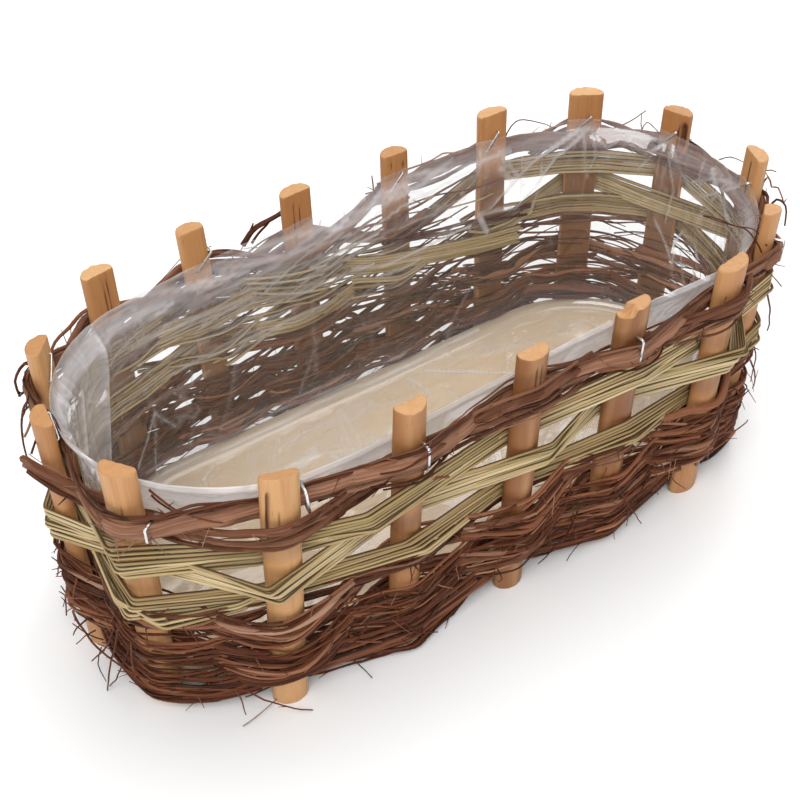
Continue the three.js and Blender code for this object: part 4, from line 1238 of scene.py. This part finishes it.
# ------------------------------------------------------------------ film liner
# folds in the film, with painted highlights and glints in white along them: points along the weave and up the wall, how
# far the fold stands in, its half width, how white the painted highlight is, half width of the white
FOLDS = [
    ([(631, 134), (628, 111), (624, 90), (616, 63)], 2.4, 3.4, 0.55, 0.9),
    ([(634, 128), (631, 100), (633, 62)], 1.2, 3.0, 0.10, 0.9),
    ([(652, 67.7), (645, 54), (636, 41.7)], 1.6, 2.6, 0.42, 0.8),
    ([(652, 67.7), (650, 49), (646, 31)], 1.2, 2.2, 0.28, 0.8),
    ([(652, 67.7), (657.6, 60.2), (663, 53)], 0.9, 2.0, 0.45, 0.8),
    ([(667, 77), (673, 54), (668, 34)], 1.2, 2.4, 0.18, 0.8),
    ([(628, 109.5), (657, 106), (684, 111), (711, 118)], 0.8, 2.4, 0.22, 0.9),
    ([(632, 133), (642, 133), (654, 133), (670, 132)], 0.9, 2.2, 0.34, 1.0),
    ([(643, 133), (670, 130), (694, 128), (711, 126)], 1.0, 2.4, 0.42, 0.9),
    ([(617, 72), (642, 72), (667, 75.5), (684, 78)], 0.8, 2.2, 0.20, 0.9),
    ([(662, 136), (699, 131.4), (737, 125.5), (774, 130.6), (790, 139)], 1.2, 3.0, 0.40, 1.0),
    ([(661, 132.5), (704, 123.5), (731, 121.5), (753, 125)], 1.2, 2.6, 0.34, 0.9),
    ([(680, 134), (716, 133), (748, 133), (780, 138)], 0.8, 2.2, 0.40, 0.8),
    ([(801, 139), (778, 127), (748, 116)], 1.0, 2.6, 0.28, 0.8),
    ([(801, 139), (806, 128), (801, 119)], 0.8, 2.0, 0.30, 0.8),
    ([(801, 139), (812, 131), (818, 124)], 0.7, 2.0, 0.28, 0.8),
    ([(806, 141), (835, 136), (868, 134)], 0.8, 2.2, 0.36, 0.9),
    ([(52.7, 137), (33.8, 124.6), (22.3, 110), (8.5, 100)], 2.0, 3.4, 0.46, 0.9),
    ([(50, 137), (22.8, 126.5), (5, 116.2), (-7.4, 106.2), (-14.4, 105)], 2.2, 4.0, 0.50, 1.0),
    ([(-14.4, 105), (-8.5, 91.6)], 1.6, 3.0, 0.60, 1.6),
    ([(-14.4, 105), (-2, 103), (6, 101)], 1.2, 2.8, 0.60, 1.7),
    ([(13, 128), (13, 112), (12, 98.5)], 0.8, 2.0, 0.30, 0.8),
    ([(25.7, 126), (25, 109), (21.7, 95)], 0.8, 2.0, 0.30, 0.8),
    ([(-1, 128), (6.3, 118)], 1.5, 3.2, 0.45, 1.6),
    ([(52.7, 137), (62, 128), (68, 132)], 1.0, 2.4, 0.36, 0.8),
    ([(52.7, 137), (57, 124), (54, 116)], 0.8, 2.0, 0.30, 0.8),
    ([(95, 137), (84, 128), (74, 131)], 1.0, 2.6, 0.36, 0.9),
    ([(94, 137), (103, 112), (101, 92)], 1.6, 3.2, 0.30, 0.8),
    ([(94, 137), (82, 135), (66, 136)], 0.8, 2.2, 0.40, 1.0),
    ([(93.8, 91), (107.3, 72), (110.8, 67)], 0.9, 2.4, 0.46, 0.7),
    ([(112.8, 91.7), (108.2, 80.2), (110.2, 70.2), (120.8, 72.9)], 0.9, 2.4, 0.50, 0.7),
    ([(113, 90), (122.6, 89.5), (127.3, 80)], 0.8, 2.2, 0.45, 0.7),
    ([(121, 96), (128, 74), (124, 58)], 0.9, 2.6, 0.30, 0.7),
    ([(113, 80), (119, 64), (128, 52)], 0.8, 2.4, 0.34, 0.7),
    ([(104, 78), (113, 58), (121, 50)], 0.8, 2.2, 0.28, 0.7),
    ([(122, 133), (135, 126), (152, 118)], 1.2, 2.6, 0.40, 1.0),
    ([(140, 128), (150, 112), (153, 96)], 1.4, 3.0, 0.34, 0.9),
    ([(745, 70), (733, 40)], 0.9, 2.2, 0.20, 0.8),
    ([(606, 112), (603, 98), (598, 84)], 1.4, 3.2, 0.85, 2.2),
    ([(622, 29.4), (662, 30.6), (700, 29.2), (748, 30.4), (792, 29.6), (846, 30.6)], 0.4, 1.6, 0.5, 0.6),
    ([(640, 35.5), (684, 33.6), (722, 35), (770, 33.4), (800, 36)], 0.3, 1.4, 0.34, 0.6),
    ([(690, 40), (730, 37.5), (760, 39)], 0.3, 1.4, 0.24, 0.6),
    ([(590, 104), (586, 82)], 1.2, 3.0, 0.45, 1.6),
]
# painted glints on the film over the board, white streaks where it catches the light: points in plan, half width, how
# white
FLOOR_GLINTS = [
    ([(38, 52), (58, 38), (76, 24)], 1.0, 0.62),
    ([(-61, 29), (-53, 30), (-44, 33)], 3.2, 0.62),
    ([(25, 57), (29, 47), (30, 38)], 0.9, 0.4),
    ([(27, 56), (28, 50), (25, 44)], 0.8, 0.3),
    ([(-100, 47), (-78, 61), (-55, 67), (-31, 67), (-2, 61), (26, 58)], 0.9, 0.62),
    ([(-96, 46), (-75, 54), (-49, 58), (-22, 57), (5, 54)], 0.8, 0.3),
    ([(118, 57), (121, 50), (122, 43)], 0.9, 0.5),
    ([(125, 37), (133, 38), (137, 34), (137, 27), (143, 26)], 0.9, 0.45),
    ([(112, 42), (116, 34), (124, 34)], 0.8, 0.35),
    ([(-76, 46), (-69, 53), (-62, 54)], 0.8, 0.35),
    ([(-38, 39), (-25, 45), (-16, 53)], 0.8, 0.3),
    ([(-15, 42), (-4, 46), (9, 42)], 1.6, 0.35),
    ([(-19, 52), (-9, 52), (1, 48)], 2.4, 0.3),
    ([(58, 57), (69, 56), (79, 59)], 1.6, 0.28),
    ([(72, 43), (83, 46), (95, 43)], 1.2, 0.3),
    ([(-87, 51), (-83, 44), (-74, 45)], 1.2, 0.28),
]
# height of the film's edge along the weave
EDGE = [(0, 142), (30, 141), (77, 141.6), (92, 140), (107, 138.4), (139, 141), (210, 142.4), (279, 143), (308, 142.8), (340, 140.8), (369, 138.9), (397, 137.4), (424, 136.2), (445, 137.8), (470, 141.5), (489, 143), (515, 142.6), (545, 141), (585, 134.5), (619, 133), (650, 132.4), (682, 136.2),
        (716, 138.5), (736, 137.6), (752, 139.4), (772, 143), (800, 145), (826, 145.6), (849, 144)]
# the pleat of the left end, behind which the film lies double
PLEAT = ([60, 90, 111, 134], [615.5, 624, 628, 631])


def film_veil(l, z):
    """How milky the film is: most along the near rim, where it is creased and doubled; the milk is also a painted
    reflection of the bright room in the film.
    """
    lo = np.array([0, 40, 90, 112, 126, 160, 190, 215, 290, 460, 540, 566, 700, 800, PERI])
    rim = np.interp(l, lo, [0.22, 0.20, 0.14, 0.13, 0.13, 0.20, 0.46, 0.74, 0.80, 0.80, 0.80, 0.54, 0.23, 0.21, 0.22])
    deep = np.interp(l, lo, [38, 34, 30, 30, 30, 28, 24, 26, 28, 28, 28, 38, 40, 38, 38])
    low = np.interp(l, lo, [0.06, 0.06, 0.06, 0.08, 0.10, 0.06, 0.03, 0.03, 0.03, 0.03, 0.04, 0.07, 0.07, 0.07, 0.06])
    hold = np.interp(l, lo, [1.0, 1.0, 1.0, 1.2, 1.4, 1.6, 3.0, 4.5, 5.0, 5.0, 4.5, 1.6, 1.0, 1.0, 1.0])
    t = np.clip((142 - z) / deep, 0, 1)
    veil = rim * (1 - t ** hold) + low * np.clip((z - 45) / 50, 0.08, 1.0)
    edge = np.interp(z, *PLEAT)
    double = np.clip((l - 548) / 24, 0, 1) * np.clip((edge - l) / 1.2, 0, 1) * np.interp(z, [30, 60, 95, 136], [0.12, 0.40, 0.56, 0.64])
    # the film bridges the corner between board and wall, pale
    corner = np.interp(z, [27, 33, 39, 48], [0.15, 0.15, 0.09, 0.0]) * np.interp(l, [0, 170, 200, 560, 610, PERI], [0.8, 0.6, 0.3, 0.3, 1.0, 0.8])
    return np.maximum(np.maximum(veil, double), corner)


def build_liner():
    rng = np.random.default_rng(331)
    m = 800
    l = np.arange(m) / m * PERI
    p0, n0 = plan(S0 - l)
    folds = list(FOLDS)
    # every staple pulls a few folds towards itself
    for i, u, z, slant in LINER_STAPLES:
        ls = STAKE_L[i] + u + STAKES[i][3] * z
        for _ in range(4):
            dx, dz = rng.uniform(-34, 34), rng.uniform(8, 30)
            mid = (ls + dx * 0.5 + rng.normal(0, 2), z - dz * 0.45 + rng.normal(0, 2))
            folds.append(([(ls, z), mid, (ls + dx, z - dz)], rng.uniform(0.5, 1.3), rng.uniform(1.8, 3.2), rng.uniform(0.08, 0.3), 0.8))
    # tight creases that climb along the far wall, and loose ones all over
    for _ in range(110):
        lc, zc, ln = rng.uniform(632, 830), rng.uniform(84, 140), rng.uniform(8, 34)
        sl = rng.normal(0.12, 0.16)
        folds.append(([(lc - ln, zc - sl * ln), (lc, zc + rng.normal(0, 1.2)), (lc + ln, zc + sl * ln)], rng.uniform(0.2, 0.7), rng.uniform(1.4, 2.4), max(0.0, rng.normal(0.24, 0.14)), rng.uniform(0.7, 1.0)))
    # upright creases of the doubled left end, and fine ones under the right rim
    for _ in range(14):
        lc, zc, ln = rng.uniform(556, 628), rng.uniform(64, 132), rng.uniform(8, 30)
        sl = rng.normal(0.0, 0.35)
        folds.append(([(lc - sl * ln, zc - ln), (lc + rng.normal(0, 1.2), zc), (lc + sl * ln, zc + ln)], rng.uniform(0.3, 1.0), rng.uniform(1.4, 2.6), rng.uniform(0.15, 0.6), rng.uniform(0.7, 1.3)))
    for _ in range(16):
        lc, zc, ln = rng.uniform(84, 200), rng.uniform(104, 138), rng.uniform(6, 20)
        ang = rng.normal(1.2, 0.5) * rng.choice([-1, 1])
        folds.append(([(lc - math.cos(ang) * ln, zc - math.sin(ang) * ln), (lc, zc), (lc + math.cos(ang) * ln, zc + math.sin(ang) * ln)], rng.uniform(0.2, 0.6), rng.uniform(1.4, 2.4), rng.uniform(0.06, 0.26), 0.75))
    for _ in range(150):
        lc = rng.uniform(0, PERI)
        if rng.random() < 0.35:
            lc = rng.choice([rng.uniform(90, 235), rng.uniform(530, 690)])
        zc = rng.uniform(34, 136)
        ang = rng.normal(1.45, 0.5) * rng.choice([-1, 1])
        ln = rng.uniform(6, 32)
        a = (lc - math.cos(ang) * ln, zc - math.sin(ang) * ln)
        c = (lc + math.cos(ang) * ln, zc + math.sin(ang) * ln)
        bend = (lc + rng.normal(0, 2.5), zc + rng.normal(0, 2.5))
        folds.append(([a, bend, c], rng.uniform(0.25, 1.1), rng.uniform(1.5, 3.4), max(0.0, rng.normal(0.06, 0.10)), 0.75))

    edge = np.array(EDGE + [(PERI, EDGE[0][1])])
    rim = np.interp(l, edge[:, 0], edge[:, 1])
    rim = rim + 0.6 * np.array([noise.noise(Vector((x * 0.021, 4.2, 0))) for x in l]) + 0.3 * np.array([noise.noise(Vector((x * 0.12, 9.2, 0))) for x in l])
    low_rows = np.r_[27.3, 27.8, 28.5, 29.4, 30.6, 32.2]
    share = np.linspace(0, 1, 82)
    upper = 34 + (rim[None, :] - 34) * share[:, None]
    grid_z = np.concatenate([np.repeat(low_rows[:, None], m, 1), upper], 0)
    grid_l = np.broadcast_to(l, grid_z.shape)
    # the film stands off the wall and comes back to it under its edge
    under = rim[None, :] - grid_z
    lean = np.interp(grid_z, [27.3, 27.8, 28.5, 29.4, 30.6, 32.2, 35, 39, 44], [-16.0, -14.0, -12.4, -11.0, -9.8, -8.8, -7.6, -6.8, -6.3]) + np.interp(under, [-1, 4.2, 8.2, 11.2], [5.3, 5.1, 1.7, 0.0])
    puff = np.interp(grid_z, [27, 40], [0.2, 1.0]) * np.interp(under, [0, 7, 14], [0.3, 0.45, 1.0])
    fold = np.zeros_like(grid_z)
    white = np.zeros_like(grid_z)
    for pts, amp, half, pale, wide in folds:
        for (la, za), (lb, zb) in zip(pts, pts[1:]):
            dl, dz = lb - la, zb - za
            size = math.hypot(dl, dz)
            if size < 0.5:
                continue
            rl = (grid_l - la + PERI / 2) % PERI - PERI / 2
            t = np.clip((rl * dl + (grid_z - za) * dz) / size ** 2, 0, 1)
            d = np.hypot(rl - t * dl, grid_z - za - t * dz)
            fold = np.maximum(fold, amp * np.clip(1 - d / half, 0, 1))
            # the white along each fold is a painted highlight
            white = np.maximum(white, pale * np.clip(1.6 - 1.2 * d / wide, 0, 1))
    slack = np.zeros_like(grid_z)
    for r in range(grid_z.shape[0]):
        for c in range(m):
            a, zz = l[c], grid_z[r, c]
            big = noise.noise(Vector((a * 0.022, zz * 0.02, 2.0)))
            fine = noise.noise(Vector((a * 0.07 - zz * 0.03, zz * 0.06, 8.0)))
            slack[r, c] = 1.7 * max(0.0, big + 0.1) + 0.45 * max(0.0, fine)
    w = lean - (slack + fold) * puff
    wall = place(grid_l, w, grid_z)
    # the painted highlights of the folds lie over the veil
    veil = np.maximum(film_veil(grid_l, grid_z + (141 - rim)[None, :] * np.clip((grid_z - 90) / 40, 0, 1)), 0) * (1 - white) + white
    # the strip along the edge is one layer, with a thin white line at the cut
    veil *= np.interp(under, [0.0, 0.7, 1.4, 4.6, 7.0], [1.0, 0.9, 0.62, 0.66, 1.0])
    # the film over the board, in shallow straight creases that cross each other, some with a painted glint along them
    strokes = []
    for _ in range(70):
        c = np.array([rng.uniform(-A - 30, A + 30), rng.uniform(-50, 50)])
        turn, ln = rng.normal(0.35, 0.7), rng.uniform(8, 34)
        way = np.array([math.cos(turn), math.sin(turn)])
        bend = rng.normal(0, 0.12) * ln * np.array([-way[1], way[0]])
        strokes.append(([c - way * ln, c + bend, c + way * ln], rng.uniform(1.0, 2.2), rng.uniform(0.2, 0.8), max(0.0, rng.normal(0.10, 0.10))))
    floor, floor_veil = [], []
    first = wall[0]
    for f in np.linspace(0.0, 1.0, 37)[:-1]:
        base = np.stack([np.clip(p0[:, 0], -A, A), np.zeros(m)], 1)
        q = base + (first[:, :2] - base) * f
        z = np.array([26.7 + 0.8 * abs(noise.noise(Vector((x * 0.022, y * 0.05, 0.3)))) + 0.5 * max(0.0, noise.noise(Vector((x * 0.09, y * 0.10, 7.3)))) for x, y in q])
        crease, lines = np.zeros(m), np.zeros(m)
        for pts, wide, high, white_at in strokes:
            for a, c in zip(pts, pts[1:]):
                t = np.clip((q - a) @ (c - a) / ((c - a) @ (c - a)), 0, 1)
                d = np.hypot(*(q - a - t[:, None] * (c - a)).T)
                crease = np.maximum(crease, high * np.clip(1 - d / (wide * 1.6), 0, 1))
                # painted glint along the crease
                lines = np.maximum(lines, white_at * np.clip(1.4 - d / wide, 0, 1))
        floor.append(np.concatenate([q, (z + crease * (f > 0.05))[:, None]], 1))
        hazy = np.array([noise.noise(Vector((x * 0.017 + 3.0, y * 0.034, 5.7))) + 0.4 * noise.noise(Vector((x * 0.06, y * 0.08, 1.7))) for x, y in q])
        pale = 0.05 + 0.24 * np.clip((hazy - 0.02) / 0.45, 0, 1) + lines
        # painted glints on the film over the board
        for pts, wide, white_at in FLOOR_GLINTS:
            for a, c in zip(np.array(pts, float), np.array(pts[1:], float)):
                t = np.clip((q - a) @ (c - a) / max(1.0, (c - a) @ (c - a)), 0, 1)
                d = np.hypot(*(q - a - t[:, None] * (c - a)).T)
                pale = np.maximum(pale, white_at * np.clip(1.5 - 0.9 * d / wide, 0, 1))
        floor_veil.append(np.maximum(pale, 0.15 * np.clip((f - 0.9) / 0.1, 0, 1)))
    v = np.concatenate([np.concatenate(floor), wall.reshape(-1, 3)])
    kind = np.concatenate([np.concatenate(floor_veil), veil.ravel()])
    rows = len(floor) + len(grid_z)
    idx = np.arange(rows * m).reshape(rows, m)
    nxt = np.roll(idx, -1, 1)
    faces = np.stack([idx[:-1], idx[1:], nxt[1:], nxt[:-1]], -1).reshape(-1, 4).tolist()
    b = Builder()
    b.add(v, faces, v * 0.001, 0.5, 0, kind)
    ob = b.mesh("film_liner", [FILM])
    bm = bmesh.new()
    bm.from_mesh(ob.data)
    bmesh.ops.remove_doubles(bm, verts=bm.verts, dist=0.00004)
    bmesh.ops.dissolve_degenerate(bm, dist=0.00001, edges=bm.edges)
    bm.to_mesh(ob.data)
    bm.free()
    finish_piece(ob, ["liner"])
    return ob


build_liner()


# ------------------------------------------------------------------ staples and nails
def face_basis(i, u, z, w, slant, legs_out):
    o, x, y = stake_frame(i)
    side = STAKES[i][3]
    up = x * side + y * FLARE + np.array([0, 0, 1.0])
    up /= np.linalg.norm(up)
    crown = x * math.cos(slant) + up * math.sin(slant)
    crown /= np.linalg.norm(crown)
    leg = (y - np.array([0, 0, FLARE])) * (1 if legs_out else -1)
    leg -= crown * (leg @ crown)
    leg /= np.linalg.norm(leg)
    third = np.cross(crown, leg)
    at = o + x * (u + side * z) + y * (w + FLARE * z) + np.array([0, 0, z])
    return at, crown, leg, third


def build_staple(name, node, i, u, z, w, slant, legs_out, leg, crown_len=12.8):
    at, crown, legd, third = face_basis(i, u, z, w, slant, legs_out)
    h = crown_len / 2 - 0.35
    r = 0.9
    pts = [(-h, leg), (-h, r + 0.35)]
    for a in np.linspace(0, math.pi / 2, 6)[1:]:
        pts.append((-h + r - r * math.cos(a), 0.35 + r - r * math.sin(a)))
    for a in np.linspace(0, math.pi / 2, 6):
        pts.append((h - r + r * math.sin(a), 0.35 + r - r * math.cos(a)))
    pts += [(h, leg)]
    pts = np.array(pts)
    path = np.array([at + crown * a + legd * q for a, q in pts])
    t = np.gradient(pts, axis=0)
    t /= np.linalg.norm(t, axis=1)[:, None]
    nrm = np.stack([-t[:, 1], t[:, 0]], 1)
    b = Builder()
    sec = [(0.5, 0.22), (0.36, 0.35), (-0.36, 0.35), (-0.5, 0.22), (-0.5, -0.22), (-0.36, -0.35), (0.36, -0.35), (0.5, -0.22)]
    verts = []
    for q in range(len(pts)):
        side_dir = crown * nrm[q, 0] + legd * nrm[q, 1]
        for e, f in sec:
            verts.append(path[q] + third * (e * 1.2) + side_dir * f)
    k, sd = len(pts), len(sec)
    idx = np.arange(k * sd).reshape(k, sd)
    nxt = np.roll(idx, -1, 1)
    faces = np.stack([idx[:-1], nxt[:-1], nxt[1:], idx[1:]], -1).reshape(-1, 4).tolist()
    faces.append(idx[0, ::-1].tolist())
    faces.append(idx[-1].tolist())
    v = np.array(verts)
    b.add(v, faces, v * 0.001, 0.5)
    ob = b.mesh(name, [STAPLE])
    bm = bmesh.new()
    bm.from_mesh(ob.data)
    bmesh.ops.recalc_face_normals(bm, faces=bm.faces)
    bm.to_mesh(ob.data)
    bm.free()
    return finish_piece(ob, [node] if node else [])


for i, u, z, slant in LINER_STAPLES:
    build_staple(f"wire_liner_staple_{i:02d}", f"liner_staple_{i:02d}", i, u, z, -1.3 if i in (1, 17) else -2.5, math.radians(slant), True, 6.9)
for i, u in RIM_STAPLES:
    build_staple(f"wire_rim_staple_{i:02d}", f"rim_staple_{i:02d}", i, u, {16: 125.8, 14: 128.0, 12: 131.0}.get(i, 127.5), 12.6 if i == 16 else 13.4, math.pi / 2, False, 9.6 if i == 16 else 10.9, 8.8 if i == 16 else 12.8)
# one more holds the bundle at the edge of stake 15
build_staple("wire_rim_staple_15", None, 15, -10.4, 129.5, 6.6, math.radians(84), False, 8.0)


def build_nail(i):
    o, x, y = stake_frame(i)
    b = Builder()
    prof = [(-15.8, 0.05), (-14.0, 0.85), (7.6, 0.9), (8.9, 0.92), (9.05, 1.36), (9.2, 1.5), (9.55, 1.5), (9.7, 1.36), (9.74, 0.7), (9.75, 0.05)]
    m = 14
    a = np.arange(m) / m * 2 * math.pi
    z0 = 20.0
    c = o + x * (STAKES[i][3] * z0) + np.array([0, 0, z0])
    v = np.concatenate([c + y * q + (x * np.cos(a)[:, None] + np.array([0, 0, 1.0]) * np.sin(a)[:, None]) * r for q, r in prof])
    idx = np.arange(len(prof) * m).reshape(len(prof), m)
    nxt = np.roll(idx, -1, 1)
    faces = np.stack([idx[:-1], idx[1:], nxt[1:], nxt[:-1]], -1).reshape(-1, 4).tolist()
    faces.append(idx[0].tolist())
    faces.append(idx[-1, ::-1].tolist())
    b.add(v, faces, v * 0.001, 0.5)
    ob = b.mesh(f"steel_nail_{i:02d}", [NAIL])
    bm = bmesh.new()
    bm.from_mesh(ob.data)
    bmesh.ops.recalc_face_normals(bm, faces=bm.faces)
    bm.to_mesh(ob.data)
    bm.free()
    return finish_piece(ob, [f"base_nail_{i:02d}"])


for i in STAKES:
    build_nail(i)


# ------------------------------------------------------------------ floor, light, camera
def build_stage():
    me = bpy.data.meshes.new("floor")
    s = 4.0
    me.from_pydata([(-s, -s, 0), (s, -s, 0), (s, s, 0), (-s, s, 0)], [], [(0, 1, 2, 3)])
    m, t, out = nodes_of("floor_white")
    k = Net(t)
    principled(k, out, (0.93, 0.93, 0.93), 0.9)
    me.materials.append(m)
    ob = bpy.data.objects.new("floor", me)
    bpy.context.scene.collection.objects.link(ob)

    world = bpy.data.worlds.new("studio")
    bpy.context.scene.world = world
    world.use_nodes = True
    bg = world.node_tree.nodes["Background"]
    bg.inputs[0].default_value = (1.0, 1.0, 1.0, 1)
    bg.inputs[1].default_value = 0.62

    def area(name, at, to, size, power, color=(1, 1, 1)):
        d = bpy.data.lights.new(name, "AREA")
        d.shape = "RECTANGLE"
        d.size, d.size_y = size
        d.energy = power
        d.color = color
        o = bpy.data.objects.new(name, d)
        o.location = at
        o.rotation_euler = (Vector(to) - Vector(at)).to_track_quat("-Z", "Y").to_euler()
        bpy.context.scene.collection.objects.link(o)

    area("key", (-0.9, -0.9, 1.7), (0, 0, 0.05), (1.4, 1.0), 24)
    area("top", (0.5, 0.5, 1.9), (0, 0, 0.05), (1.6, 1.6), 16)
    area("rim", (1.3, 0.9, 0.9), (0, 0, 0.1), (0.5, 1.0), 5)


build_stage()

cam_d = bpy.data.cameras.new("camera")
cam_d.sensor_width = 36.0
cam_d.lens = 1498.77 / 800 * 36.0
cam = bpy.data.objects.new("camera", cam_d)
bpy.context.scene.collection.objects.link(cam)
AZ, EL = math.radians(-34.303), math.radians(42.837)
back = Vector((math.sin(AZ) * math.cos(EL), -math.cos(AZ) * math.cos(EL), math.sin(EL)))
right = Vector((math.cos(AZ), math.sin(AZ), 0))
up = back.cross(right)
rot = Matrix((right, up, back)).transposed()
cam.matrix_world = Matrix.Translation(Vector(((-311.607 + 1.13) / 1000, (-436.308 + 0.6) / 1000, 562.484 / 1000))) @ rot.to_4x4()
cam_d.clip_start = 0.01
bpy.context.scene.camera = cam
bpy.context.scene.view_settings.view_transform = "Standard"
